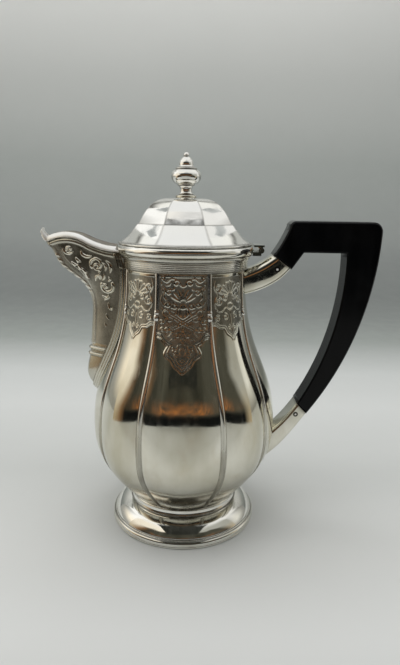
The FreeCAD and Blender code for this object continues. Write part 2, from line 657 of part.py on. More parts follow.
# Lid: rim with its bezel, eight-sided dome, finial held by a stud and nut
lid_base, rim_top = top + size("lid_gap"), size("lid_rim_top")
lid_radius = size("lid_rim_radius")
bezel_radius = bore - size("bezel_clearance")
bezel_bore = bezel_radius - size("bezel_wall")
bezel_low = top - size("bezel_depth")
rim_outside = [(lid_radius, lid_base, size("lid_rim_bow")), (lid_radius, rim_top, None)]
nodes["lid_rim"] = revolve("lid_rim", [(bezel_radius, lid_base, None)] + rim_outside + [
    (bezel_radius, rim_top, None)])
lid_rim_form = revolve("lid_rim_form", [(axis, lid_base, None)] + rim_outside + [(axis, rim_top, None)])
nodes["lid_bezel"] = revolve("lid_bezel", [(bezel_bore, bezel_low, None), (bezel_radius, bezel_low, None),
                                           (bezel_radius, rim_top, None), (bezel_bore, rim_top, None)])

lid_wall, lid_top = size("lid_wall"), size("top_height")
lower_lid = [lid_section(level, axis, axis) for level in LID_LEVELS[:3]]
waist_step = lid_section("waist", size("lid_step"), axis)
upper_lid = [waist_step] + [lid_section(level, axis, axis) for level in LID_LEVELS[3:]]
lid_form = panel_form("lid_form", lower_lid)
upper_sketches = draw_sections(lid_form, "lid_form_upper", upper_lid)
loft(lid_form, "lid_form_dome", upper_sketches)
lid_hollow = panel_form("lid_hollow", [lid_section(level, lid_wall * inset, lid_wall * drop)
                                       for level, inset, drop in LID_INSIDE])
stud_low = lid_top - size("stud_length")
stud = doc.addObject("Part::Cylinder", "stud_bore")
stud.setExpression("Radius", size("stud_radius").text)
stud.setExpression("Height", (size("stud_length") + size("form_slack")).text)
place(stud, axis, axis, stud_low)
nodes["lid_dome"] = cut("lid_dome", lid_form, lid_hollow, stud)

stud_radius = size("stud_radius")
stem_foot = lid_top + size("finial_collar_height")
collar_flat = size("finial_collar_radius") - size("finial_collar_edge")
nodes["finial_collar"] = revolve("finial_collar", [
    (stud_radius, lid_top, None), (collar_flat, lid_top, size("finial_collar_edge")),
    (collar_flat, stem_foot, None), (stud_radius, stem_foot, None)])
groove_radius = size("urn_top_radius") - size("groove_depth")
groove_top = size("urn_top_height") + size("groove_height")
nodes["finial_knob"] = revolve("finial_knob", [
    (axis, stud_low, None), (stud_radius, stud_low, None), (stud_radius, stem_foot, None),
    (size("stem_foot_radius"), stem_foot, -size("stem_bow")),
    (size("stem_radius"), size("stem_height"), -size("stem_bow")),
    (size("urn_base_radius"), size("urn_base_height"), size("urn_lower_bow")),
    (size("urn_radius"), size("urn_height"), size("urn_upper_bow")),
    (size("urn_top_radius"), size("urn_top_height"), None), (groove_radius, size("urn_top_height"), None),
    (groove_radius, groove_top, None), (size("bell_shoulder_radius"), groove_top, -size("shoulder_bow")),
    (size("bell_radius"), size("bell_height"), size("bell_bow")),
    (size("bell_top_radius"), size("bell_top_height"), None),
    (size("tip_neck_radius"), size("tip_neck_height"), size("tip_lower_bow")),
    (size("tip_radius"), size("tip_height"), size("tip_upper_bow")),
    (size("tip_flat"), size("finial_top"), None), (axis, size("finial_top"), None)])

nut_blank = new_body("finial_nut_blank")
nut_sketch = new_sketch(nut_blank, "finial_nut_outline", "XY_Plane", lid_top - lid_wall - size("nut_height"))
draw_outline(nut_sketch, [(size("nut_radius") * math.cos(math.radians(turn)),
                           size("nut_radius") * math.sin(math.radians(turn)), None)
                          for turn in range(0, FULL_TURN, FULL_TURN // NUT_SIDES)])
nut_pad = nut_blank.newObject("PartDesign::Pad", "finial_nut_pad")
nut_pad.Profile = nut_sketch
nut_pad.setExpression("Length", size("nut_height").text)
nodes["finial_nut"] = cut("finial_nut", nut_blank, stud)

# Hinge: two knuckles on the collar, one on the lid, a pin through all three
hinge_x, hinge_z = size("hinge_reach"), size("hinge_level")
knuckle, leaf = size("knuckle_radius"), size("leaf_thickness")
half_hinge, half_lid_knuckle = size("hinge_length") / 2, size("lid_knuckle_length") / 2
inner_end = half_lid_knuckle + size("knuckle_gap")
clear = knuckle + size("leaf_clearance")
leaf_root = size("leaf_root")
pin_end = half_hinge + size("pin_proud")
nodes["hinge_pin"] = rod_across("hinge_pin", size("hinge_pin_radius"), hinge_x, hinge_z, (-pin_end, pin_end))
plate_top = hinge_z - clear
body_leaf = [box("body_leaf_plate", (leaf_root, hinge_x), (-half_hinge, half_hinge),
                 (plate_top - leaf, plate_top))]
for side, y_range in (("near", (-half_hinge, -inner_end)), ("far", (inner_end, half_hinge))):
    body_leaf.append(rod_across(f"body_knuckle_{side}", knuckle, hinge_x, hinge_z, y_range))
    body_leaf.append(box(f"body_web_{side}", (leaf_root, hinge_x), y_range,
                         (plate_top, top - size("lid_gap"))))
nodes["hinge_body_leaf"] = cut("hinge_body_leaf", fuse("body_leaf_blank", body_leaf), collar_form,
                               nodes["hinge_pin"])

leaf_low = hinge_z + clear
neck_half = knuckle - size("leaf_clearance")
lid_leaf = [
    box("lid_leaf_plate", (leaf_root, hinge_x + size("leaf_overhang")), (-half_hinge, half_hinge),
        (leaf_low, leaf_low + leaf)),
    box("lid_leaf_neck", (hinge_x - neck_half, hinge_x + neck_half), (-half_lid_knuckle, half_lid_knuckle),
        (hinge_z, leaf_low)),
    rod_across("lid_knuckle", knuckle, hinge_x, hinge_z, (-half_lid_knuckle, half_lid_knuckle)),
]
lid_bore = rod_across("lid_knuckle_bore", size("hinge_pin_radius") + size("hinge_pin_fit"), hinge_x, hinge_z,
                      (-half_hinge, half_hinge))
nodes["hinge_lid_leaf"] = cut("hinge_lid_leaf", fuse("lid_leaf_blank", lid_leaf), lid_rim_form, lid_bore)

# Handle: wooden grip with a tenon at each end, two sockets and two cross pins
upper_top, upper_low = point("upper_end_top"), point("upper_end_low")
lower_top, lower_low = point("lower_end_top"), point("lower_end_low")
thickness = size("grip_thickness")
bar_under, handle_top, reach = size("bar_under_height"), size("handle_top"), size("handle_reach")
grip_plate = pad_sideways("grip_plate", [
    (*upper_low, None), (size("bar_under_start"), bar_under, None),
    (size("bar_under_end"), bar_under, -size("inner_bow")), (*lower_top, None),
    (*lower_low, size("outer_bow")), (reach, handle_top, None),
    (size("slant_reach"), handle_top, -size("slant_bow")), (*upper_top, None)], thickness)
round_corner(grip_plate, (reach, handle_top), size("outer_corner_radius"))
round_corner(grip_plate, (size("slant_reach"), handle_top), size("slant_corner_radius"))
upper_end, lower_end = (upper_top, upper_low), (lower_top, lower_low)
ends = [plain(upper_end), plain(lower_end)]
ease_edges(grip_plate, "Chamfer", "Size", size("grip_chamfer"), ends)
upper_tenon, upper_pin_place = tenon("upper_tenon", upper_end, size("upper_tenon_width"))
lower_tenon, lower_pin_place = tenon("lower_tenon", lower_end, size("lower_tenon_width"))
cross_end = thickness / 2 + size("pin_proud")
for name, (x, z) in (("upper_pin", upper_pin_place), ("lower_pin", lower_pin_place)):
    nodes[name] = rod_across(name, size("pin_radius"), x, z, (-cross_end, cross_end))
nodes["handle_grip"] = cut("handle_grip", fuse("grip_blank", [grip_plate, upper_tenon, lower_tenon]),
                           nodes["upper_pin"], nodes["lower_pin"])

upper_root, lower_root = size("upper_socket_root"), size("lower_socket_root")
upper_blank = pad_sideways("upper_socket_blank", [
    (upper_root, size("upper_socket_low"), None), (*point("upper_socket_knee"), size("upper_socket_bow")),
    (*upper_low, None), (*upper_top, None), (*point("upper_socket_brow"), None),
    (upper_root, size("upper_socket_high"), None)], thickness)
upper_back = ((upper_root, size("upper_socket_low")), (upper_root, size("upper_socket_high")))
ease_edges(upper_blank, "Fillet", "Radius", size("upper_socket_rounding"), [ends[0], plain(upper_back)])
nodes["upper_socket"] = cut("upper_socket", upper_blank, pot_form, collar_form, upper_tenon,
                            nodes["upper_pin"])
lower_blank = pad_sideways("lower_socket_blank", [
    (lower_root, size("lower_socket_low"), size("lower_socket_low_bow")), (*lower_low, None),
    (*lower_top, -size("lower_socket_high_bow")), (lower_root, size("lower_socket_high"), None)], thickness)
lower_back = ((lower_root, size("lower_socket_low")), (lower_root, size("lower_socket_high")))
ease_edges(lower_blank, "Fillet", "Radius", size("lower_socket_rounding"), [ends[1], plain(lower_back)])
nodes["lower_socket"] = cut("lower_socket", lower_blank, pot_form, lower_tenon, nodes["lower_pin"])

# Check the whole document, then write one file for each sub-part
doc.recompute()
failed = [item.Name for item in doc.Objects if "Invalid" in item.State or "Error" in item.State]
if failed:
    raise RuntimeError(f"failed: {failed}")
for name, item in nodes.items():
    item.Label = name
    if item.Shape.isNull() or not item.Shape.isValid():
        raise RuntimeError(f"{name} has no valid shape")
os.makedirs("parts", exist_ok=True)
for name, item in nodes.items():
    item.Shape.exportStep(os.path.join("parts", f"{item.Label}.step"))
    print(f"{name}: {len(item.Shape.Solids)} solid(s), {item.Shape.Volume:.1f} mm3")
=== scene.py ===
import math

import bpy
import numpy as np
from mathutils import Matrix


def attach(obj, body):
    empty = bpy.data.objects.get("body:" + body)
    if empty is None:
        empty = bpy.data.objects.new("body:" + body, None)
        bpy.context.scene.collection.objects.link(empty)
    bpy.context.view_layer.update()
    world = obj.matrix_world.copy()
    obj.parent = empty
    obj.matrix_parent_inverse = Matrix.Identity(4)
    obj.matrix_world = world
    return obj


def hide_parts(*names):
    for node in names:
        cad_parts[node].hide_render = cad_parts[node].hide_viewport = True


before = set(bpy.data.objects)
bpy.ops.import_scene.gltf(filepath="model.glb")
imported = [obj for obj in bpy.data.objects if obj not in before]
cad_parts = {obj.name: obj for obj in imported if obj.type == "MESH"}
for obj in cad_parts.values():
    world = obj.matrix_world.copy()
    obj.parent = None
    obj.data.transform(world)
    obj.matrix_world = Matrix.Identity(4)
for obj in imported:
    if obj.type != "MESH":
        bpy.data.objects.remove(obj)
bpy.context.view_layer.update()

MM = 0.001

# Sizes in millimetres
BODY_Z = (18.5, 29.5, 43.0, 64.0, 86.0, 110.0, 134.0, 159.7)
BODY_R = (33.0, 43.0, 52.4, 56.3, 53.5, 44.4, 37.5, 35.6)
BODY_LOBE = (0.6, 1.2, 1.8, 2.0, 1.8, 1.2, 0.4, 0.1)
BODY_ANGLE = (24.5, 25.0, 25.5, 25.5, 25.3, 24.5, 23.5, 23.2)
RIB_HALF, RIB_HEIGHT = 1.4, 0.9
RIM_TOP, ROOT, NECK, COLLAR_TOP = 5.1, BODY_Z[0], BODY_Z[-1], 169.9
LID_LOW, LID_RIM_TOP, LID_TOP, FINIAL_FOOT, LID_ROOM = 170.2, 174.4, 199.2, 201.1, 41.0
SPOUT_Z = (80.0, 90.0, 104.0, 126.0, 143.0, 152.0, 160.0, 169.0, 176.0, 182.0, 188.0)
SPOUT_REACH = (50.5, 59.0, 58.6, 56.1, 56.8, 63.2, 73.2, 78.4, 83.4, 83.6, 80.0)
SPOUT_SPREAD = (14.0, 15.0, 15.5, 13.0, 11.6, 11.3, 11.3, 11.4, 11.5, 11.5, 11.5)
SPOUT_NOSE = (1.9, 2.2, 2.3, 2.5, 2.6, 2.6, 2.5, 2.4, 2.2, 2.1, 2.1)
SPOUT_ROOT, SPOUT_BOW, SPOUT_WALL, NOSE_DEPTH = -33.5, 1.1, 1.1, 1.1
RIM_LINE = ((-83.4, 182.4, -1.1), (-80.4, 176.6, 0.7), (-69.0, 179.6, 0.8), (-57.0, 176.2, -1.2),
            (-36.0, 171.6, 0))
RIM_DEPTH, TRIM, BORDER = 3.4, 1.2, 3.4
BEADS = (106.25, 109.85)
UPPER_LOW, UPPER_TOP = (62.1, 159.8), (51.2, 167.8)
LOWER_LOW, LOWER_TOP = (75.9, 70.6), (69.7, 77.1)
UPPER_PIN, LOWER_PIN = (53.7, 159.8), (69.2, 70.4)
GRIP_HALF = 8.0


# Curves
def smooth(value):
    """Step from nothing to one with soft ends."""
    value = np.clip(value, 0, 1)
    return value * value * (3 - 2 * value)


def hump(value):
    """Half-round profile that is one at zero and nothing from minus one and plus one outwards."""
    return np.sqrt(np.clip(1 - value * value, 0, 1))


def soft_line(place, level, reach, strength=1.0):
    """Line that is strongest at a level and fades over its reach."""
    return strength * np.exp(-((place - level) / reach) ** 2)


def most(*values):
    """Largest of several arrays, point by point."""
    return np.maximum.reduce(np.broadcast_arrays(*values))


def heading(degrees):
    """Direction in a plane, one unit long."""
    return np.array([math.cos(math.radians(degrees)), math.sin(math.radians(degrees))])


def arc_radius(half, bow):
    """Radius of the arc whose chord is twice the half and whose middle stands out by the bow."""
    return (half ** 2 + bow ** 2) / (2 * bow)


def spline(xs, ys):
    """Natural cubic spline through the points, as a function of an array."""
    xs, ys = np.array(xs, float), np.array(ys, float)
    count, step = len(xs), np.diff(xs)
    matrix, right = np.eye(count), np.zeros(count)
    for i in range(1, count - 1):
        matrix[i, i - 1:i + 2] = step[i - 1], 2 * (step[i - 1] + step[i]), step[i]
        right[i] = 6 * ((ys[i + 1] - ys[i]) / step[i] - (ys[i] - ys[i - 1]) / step[i - 1])
    bend = np.linalg.solve(matrix, right)

    def value(x):
        x = np.asarray(x, float)
        i = np.clip(np.searchsorted(xs, x) - 1, 0, count - 2)
        h, left, rest = step[i], x - xs[i], xs[i + 1] - x
        return ((bend[i] * rest ** 3 + bend[i + 1] * left ** 3) / (6 * h)
                + (ys[i] / h - bend[i] * h / 6) * rest + (ys[i + 1] / h - bend[i + 1] * h / 6) * left)
    return value


def through(points, count):
    """Smooth curve through points, sampled evenly by chord length."""
    points = np.array(points, float)
    if len(points) == 2:
        return points[0] + (points[1] - points[0]) * np.linspace(0, 1, count)[:, None]
    along = np.concatenate([[0], np.cumsum(np.linalg.norm(np.diff(points, axis=0), axis=1))])
    at = np.linspace(0, along[-1], count)
    return np.stack([spline(along, points[:, axis])(at) for axis in range(points.shape[1])], axis=1)


def bowed(start, stop, bow, count):
    """Arc from start to stop that swells by bow to the right of its direction."""
    start, stop = np.array(start, float), np.array(stop, float)
    if not bow:
        return start + (stop - start) * np.linspace(0, 1, count)[:, None]
    chord = stop - start
    length = np.linalg.norm(chord)
    along = chord / length
    right = np.array([along[1], -along[0]])
    radius = arc_radius(length / 2, abs(bow))
    swing = math.asin(min(length / 2 / radius, 1)) * np.linspace(-1, 1, count)
    rise = (radius * np.cos(swing) - (radius - abs(bow))) * np.sign(bow)
    return (start + stop) / 2 + along * (radius * np.sin(swing))[:, None] + right * rise[:, None]


def profile(corners, rounding, count):
    """Outline through (x, y, bow) corners with each corner eased by a small curve."""
    parts = [bowed(first[:2], second[:2], first[2], count) for first, second in zip(corners, corners[1:])]
    line = [parts[0][0]]
    for before, after in zip(parts, parts[1:]):
        corner = after[0].copy()

        def far(point):
            return np.linalg.norm(point - corner) > rounding

        def eased(point):
            return corner + (point - corner) * min(1, rounding / max(np.linalg.norm(point - corner), 1e-6))
        line.extend(filter(far, before[1:]))
        into, out = eased(line[-1]), eased(next(filter(far, after), after[-1]))
        for t in np.linspace(0, 1, 5):
            line.append((1 - t) ** 2 * into + 2 * t * (1 - t) * corner + t ** 2 * out)
        after[0] = out
    line.extend(parts[-1][1:])
    return np.array(line)


# Materials
# Fields a mesh carries: patina blackens the silver, matte roughens it, and the third is a painted highlight
# that lightens its colour.
FIELDS = ("patina", "matte", "bright")
CLEAN_SILVER, DULL_SILVER, STAINED_SILVER = (0.84, 0.825, 0.74), (0.60, 0.57, 0.46), (0.60, 0.53, 0.40)
PAINTED_HIGHLIGHT_SILVER, BLACKENED_SILVER = (0.90, 0.895, 0.87), (0.082, 0.076, 0.058)
# Pin end colours: two pale tones of a painted highlight and a black ring
PIN_HIGHLIGHT, PIN_HIGHLIGHT_DIM, PIN_RING_BLACK = (0.98, 0.97, 0.95), (0.90, 0.88, 0.84), (0.014, 0.013, 0.011)
WOOD_DARK, WOOD_LIGHT, WOOD_DUST = (0.0012, 0.0014, 0.0018), (0.0040, 0.0042, 0.0048), (0.012, 0.013, 0.014)


class Paint:
    """Node tree of a material or world, with one short call for each kind of node."""

    def __init__(self, owner, coordinates="Object"):
        owner.use_nodes = True
        self.nodes, self.links = owner.node_tree.nodes, owner.node_tree.links
        self.where = self.nodes.new("ShaderNodeTexCoord").outputs[coordinates]

    def feed(self, socket, value):
        """Link an output to a socket, or set the socket to a constant."""
        if isinstance(value, bpy.types.NodeSocket):
            self.links.new(value, socket)
        else:
            socket.default_value = value

    def node(self, kind, **values):
        """New node with its sockets fed; a socket's name has a low line for each space."""
        node = self.nodes.new("ShaderNode" + kind)
        for name, value in values.items():
            self.feed(node.inputs[name.replace("_", " ")], value)
        return node

    def axis(self, letter):
        return self.node("SeparateXYZ", Vector=self.where).outputs[letter]

    def field(self, name):
        """Number that a mesh carries at its points."""
        node = self.node("Attribute")
        node.attribute_name = name
        return node.outputs["Fac"]

    def noise(self, scale, detail, stretch=None):
        place = self.where
        if stretch:
            place = self.node("Mapping", Vector=place, Scale=stretch).outputs["Vector"]
        return self.node("TexNoise", Vector=place, Scale=scale, Detail=detail).outputs["Fac"]

    def spread(self, source, low, high, to_low=0.0, to_high=1.0):
        """Number moved from one range to another and held at its ends."""
        return self.node("MapRange", Value=source, From_Min=low, From_Max=high, To_Min=to_low,
                         To_Max=to_high).outputs["Result"]

    def mixed(self, factor, first, second):
        node = self.node("Mix", Factor=factor)
        node.data_type = "RGBA"
        for name, value in (("A", first), ("B", second)):
            socket = next(item for item in node.inputs if item.name == name and item.type == "RGBA")
            self.feed(socket, (*value, 1) if isinstance(value, tuple) else value)
        return next(item for item in node.outputs if item.type == "RGBA")

    def joined(self, operation, first, second):
        """Two numbers joined by an operation; a sum is held between nothing and one."""
        node = self.node("Math")
        node.operation, node.use_clamp = operation, operation == "ADD"
        self.feed(node.inputs[0], first)
        self.feed(node.inputs[1], second)
        return node.outputs["Value"]

    def plus(self, total, *others):
        for other in others:
            total = self.joined("ADD", total, other)
        return total

    def times(self, product, *others):
        for other in others:
            product = self.joined("MULTIPLY", product, other)
        return product

    def ramp(self, source, *stops):
        """Colour that follows a number through (position, colour) stops."""
        node = self.node("ValToRGB", Fac=source)
        elements = node.color_ramp.elements
        while len(elements) < len(stops):
            elements.new(1.0)
        for element, (position, colour) in zip(elements, stops):
            element.position, element.color = position, (*colour, 1)
        return node.outputs["Color"]

    def bump(self, height, strength, distance, **below):
        node = self.node("Bump", Height=height, Strength=strength, Distance=distance, **below)
        return node.outputs["Normal"]

    def axis_distance(self, place):
        """Distance in metres from a line along Y through an (x, z) place in millimetres."""
        flat, reach = self.node("VectorMath"), self.node("VectorMath")
        flat.operation, reach.operation = "MULTIPLY_ADD", "LENGTH"
        flat.inputs[1].default_value = (1, 0, 1)
        flat.inputs[2].default_value = (-place[0] * MM, 0, -place[1] * MM)
        self.feed(flat.inputs[0], self.where)
        self.feed(reach.inputs[0], flat.outputs["Vector"])
        return reach.outputs["Value"]


def new_material(name):
    material = bpy.data.materials.new(name)
    paint = Paint(material)
    return material, paint, paint.nodes["Principled BSDF"].inputs


def make_silver(name, pin=None):
    """Polished silver: clouds, stains, streaks and scratches, black where a mesh says so or round a pin, and
    a painted highlight that lightens it where a mesh says so.
    """
    material, paint, sockets = new_material(name)
    patina, matte, bright = (paint.field(field) for field in FIELDS)
    cloud = paint.noise(42.0, 5.0, (1.0, 1.0, 0.45))
    tarnish = paint.noise(95.0, 6.0, (1.0, 1.0, 0.6))
    scratch = paint.noise(900.0, 3.0, (1.0, 1.0, 0.12))
    streaks = paint.noise(210.0, 4.0, (1.0, 1.0, 0.07))
    clean = paint.mixed(paint.spread(cloud, 0.35, 0.7), CLEAN_SILVER, DULL_SILVER)
    clean = paint.mixed(paint.spread(tarnish, 0.56, 0.76, 0, 0.5), clean, STAINED_SILVER)
    # Painted highlight: the colour lightened towards pale silver where the mesh says so
    clean = paint.mixed(bright, clean, PAINTED_HIGHLIGHT_SILVER)
    black = paint.times(patina, paint.spread(tarnish, 0.3, 0.7, 0.68, 1.12))
    if pin:
        black = paint.plus(black, paint.spread(paint.axis_distance(pin), 1.3 * MM, 1.8 * MM, 1.0, 0))
    paint.feed(sockets["Base Color"], paint.mixed(black, clean, BLACKENED_SILVER))
    paint.feed(sockets["Metallic"], 1.0)
    rough = paint.plus(paint.spread(cloud, 0.3, 0.75, 0.035, 0.095), paint.spread(scratch, 0.5, 0.8, 0, 0.06),
                       paint.spread(streaks, 0.52, 0.72, 0, 0.08), paint.spread(tarnish, 0.5, 0.72, 0, 0.06),
                       paint.times(patina, 0.30), paint.times(matte, 0.26))
    paint.feed(sockets["Roughness"], rough)
    dents = paint.bump(paint.noise(24.0, 2.0), 0.25, 0.25 * MM)
    paint.feed(sockets["Normal"], paint.bump(scratch, 0.06, 0.04 * MM, Normal=dents))
    return material


def make_pin_end(name, place):
    """Pin end with a painted highlight: pale matt centre, mottled, in a ring of black."""
    material, paint, sockets = new_material(name)
    ring = paint.spread(paint.axis_distance(place), 0.5 * MM, 0.75 * MM)
    # Painted highlight mottled by noise, which also varies the roughness
    tone_shift = paint.spread(paint.noise(400.0, 3.0), 0.3, 0.7)
    paint.feed(sockets["Base Color"], paint.mixed(ring, paint.mixed(tone_shift, PIN_HIGHLIGHT, PIN_HIGHLIGHT_DIM), PIN_RING_BLACK))
    paint.feed(sockets["Metallic"], 0.6)
    paint.feed(sockets["Roughness"], paint.spread(tone_shift, 0, 1, 0.5, 0.65))
    return material


def make_wood():
    """Satin black wood with faint grain and dusty wear."""
    material, paint, sockets = new_material("black_wood")
    grain = paint.noise(160.0, 6.0, (1.0, 1.0, 0.18))
    dust = paint.noise(55.0, 5.0)
    colour = paint.mixed(paint.spread(grain, 0.4, 0.75), WOOD_DARK, WOOD_LIGHT)
    paint.feed(sockets["Base Color"], paint.mixed(paint.spread(dust, 0.58, 0.9, 0, 0.3), colour, WOOD_DUST))
    paint.feed(sockets["Roughness"], paint.spread(dust, 0.3, 0.75, 0.15, 0.26))
    paint.feed(sockets["Specular IOR Level"], 0.17)
    paint.feed(sockets["Normal"], paint.bump(grain, 0.12, 0.08 * MM))
    return material


silver, wood = make_silver("polished_silver"), make_wood()
upper_silver = make_silver("upper_socket_silver", UPPER_PIN)
lower_silver = make_silver("lower_socket_silver", LOWER_PIN)
node_looks = {"handle_grip": wood, "upper_pin": make_pin_end("upper_pin_end", UPPER_PIN),
              "lower_pin": make_pin_end("lower_pin_end", LOWER_PIN)}
for node_name, node_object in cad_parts.items():
    node_object.data.materials.clear()
    node_object.data.materials.append(node_looks.get(node_name, silver))


# Meshes
def add_mesh(name, points, faces, material):
    mesh = bpy.data.meshes.new(name)
    mesh.from_pydata(points, [], faces)
    mesh.validate()
    mesh.polygons.foreach_set("use_smooth", [True] * len(mesh.polygons))
    mesh.materials.append(material)
    item = bpy.data.objects.new(name, mesh)
    bpy.context.scene.collection.objects.link(item)
    return item


def carry(item, field, values):
    """Give a mesh one number at each of its points."""
    layer = item.data.attributes.new(field, "FLOAT", "POINT")
    values = np.broadcast_to(np.ravel(values), (len(item.data.vertices),))
    layer.data.foreach_set("value", np.ascontiguousarray(values, np.float32))


def build(name, points, faces, body, replaced, fields, sharp, material=silver):
    """Mesh in millimetres that rides on a body and stands for solids of that body."""
    item = add_mesh(name, (np.reshape(points, (-1, 3)) * MM).tolist(), faces, material)
    item.data.set_sharp_from_angle(angle=math.radians(sharp))
    for field in FIELDS:
        carry(item, field, fields.get(field, 0.0))
    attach(item, body)
    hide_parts(*replaced)


def shell_fields(outside, inside, **pairs):
    """Fields of a mesh with an outside and an inside, from pairs of arrays or numbers."""
    counts = outside.size // 3, inside.size // 3
    return {field: np.concatenate([np.broadcast_to(np.ravel(values), (count,))
                                   for values, count in zip(pair, counts)]) for field, pair in pairs.items()}


def shell_points(outside, inside):
    return np.concatenate([outside.reshape(-1, 3), inside.reshape(-1, 3)])


def grid_faces(rows, columns, closed, first=0, flip=False):
    """Quads of a grid of points, closed round its columns where asked."""
    steps = np.arange(columns if closed else columns - 1)
    row, column = np.meshgrid(np.arange(rows - 1), steps, indexing="ij")
    following = (column + 1) % columns
    quads = np.stack([row * columns + column, row * columns + following,
                      (row + 1) * columns + following, (row + 1) * columns + column], axis=-1).reshape(-1, 4)
    if flip:
        quads = quads[:, ::-1]
    return (quads + first).tolist()


def normals(points, closed):
    """Normals of a grid, outward where its columns run counter-clockwise from above and its rows upwards."""
    if closed:
        across = np.roll(points, -1, axis=1) - np.roll(points, 1, axis=1)
    else:
        across = np.gradient(points, axis=1)
    normal = np.cross(across, np.gradient(points, axis=0))
    return normal / np.maximum(np.linalg.norm(normal, axis=-1, keepdims=True), 1e-9)


def turned(name, line, body, replaced, patina, bright=0.0, steps=224):
    """Lathe form of an (r, z) line; a closed line repeats its first point at its end."""
    angle = np.arange(steps) / steps * 2 * math.pi
    r, z = line[:, :1], line[:, 1:]
    points = np.stack(np.broadcast_arrays(r * np.cos(angle), r * np.sin(angle), z), axis=-1)
    # Painted highlight: the given share lightens the whole piece's colour
    fields = {"patina": np.broadcast_to(patina(r, z), points.shape[:2]), "bright": bright}
    build(name, points, grid_faces(len(line), steps, True), body, replaced, fields, 50)


def dark_rings(*rings):
    """Patina of a turned piece with (height, reach, strength) dark lines round it."""
    return lambda r, z: np.clip(sum(soft_line(z, *ring) for ring in rings), 0, 0.9)


# Ornament, drawn in a plane
def spiral(x, y, outer, inner, start, stop, count=30):
    angle = np.radians(np.linspace(start, stop, count))
    radius = np.linspace(outer, inner, count)
    return np.stack([x + radius * np.cos(angle), y + radius * np.sin(angle)], axis=1)


def ellipse(x, y, wide, high, count=28):
    angle = np.linspace(0, 2 * math.pi, count)
    return np.stack([x + wide * np.cos(angle), y + high * np.sin(angle)], axis=1)


class Ornament:
    """Half-round strokes in a plane, mirrored across x = 0 where asked."""

    def __init__(self, mirror=True):
        self.strokes, self.mirror = [], mirror

    def add(self, line, half, height, taper=False):
        self.strokes.append((np.asarray(line, float), half, height, taper))

    def pair(self, line, half, height, taper=False):
        """A stroke, and its mirror image where the ornament is mirrored."""
        self.add(line, half, height, taper)
        if self.mirror:
            self.add(np.asarray(line, float) * np.array([-1.0, 1.0]), half, height, taper)

    def double(self, line, gap, half, height):
        """Two parallel strokes along a line."""
        along = np.gradient(line, axis=0)
        along /= np.maximum(np.linalg.norm(along, axis=1, keepdims=True), 1e-9)
        aside = np.stack([along[:, 1], -along[:, 0]], axis=1)
        for shift in (-gap / 2, gap / 2):
            self.pair(line + aside * shift, half, height)

    def curls(self, *rows):
        """Spirals: rows of (x, y, outer, inner, start, stop, half width, height)."""
        for *form, half, height in rows:
            self.pair(spiral(*form), half, height)

    def leaves(self, *rows):
        """Tapered strokes: rows of (points, count, half width, height)."""
        for points, count, half, height in rows:
            self.pair(through(points, count), half, height, True)

    def rays(self, centre, near, far, turns, count, half, height, taper=True):
        for turn in turns:
            ends = [centre + heading(turn) * near, centre + heading(turn) * far]
            self.add(through(ends, count), half, height, taper)

    def shell(self, centre, reach, petals, start=12, stop=168):
        """Scallop shell: radiating flutes with a scalloped edge."""
        edges = np.linspace(start, stop, petals + 1)
        self.rays(centre, reach * 0.22, reach * 0.9, edges, 6, 0.36, 0.15, False)
        for turn in (edges[1:] + edges[:-1]) / 2:
            tip = centre + heading(turn) * reach * 0.9
            self.add(spiral(*tip, reach * 0.16, reach * 0.16, turn - 95, turn + 95, 10), 0.34, 0.16)

    def heights(self, x, y):
        """Relief of the strokes at the points."""
        relief = np.zeros(x.shape)
        for line, half, height, taper in self.strokes:
            low, high = line.min(axis=0) - half, line.max(axis=0) + half
            near = (x > low[0]) & (x < high[0]) & (y > low[1]) & (y < high[1])
            if not near.any():
                continue
            spots = np.stack([x[near], y[near]], axis=-1)
            best, width = np.full(len(spots), 1e9), np.full(len(spots), half)
            for index, (first, second) in enumerate(zip(line, line[1:])):
                run = second - first
                share = np.clip(((spots - first) @ run) / max(run @ run, 1e-12), 0, 1)
                gap = np.linalg.norm(spots - first - share[:, None] * run, axis=1)
                closer = gap < best
                best = np.where(closer, gap, best)
                if taper:
                    place = np.clip((index + share) / (len(line) - 1), 0, 1)
                    width = np.where(closer, half * (0.25 + 0.75 * np.sin(math.pi * place) ** 0.7), width)
            relief[near] = np.maximum(relief[near], height * hump(best / width))
        return relief


# Edges of the ornament on one half of a panel, as (sideways, height)
LOWER_WING = ((13.8, 125.0), (11.8, 124.4), (10.0, 122.6), (7.6, 121.2))
PENDANT = ((7.6, 121.2), (9.1, 119.0), (9.8, 116.4), (7.6, 114.9), (6.0, 113.5), (4.7, 111.3), (2.6, 109.6),
           (0.0, 107.4))
LAPPET = ((13.6, 132.0), (10.6, 132.2), (8.2, 130.4), (5.4, 130.0), (3.6, 126.8), (1.6, 125.2), (0, 122.8))


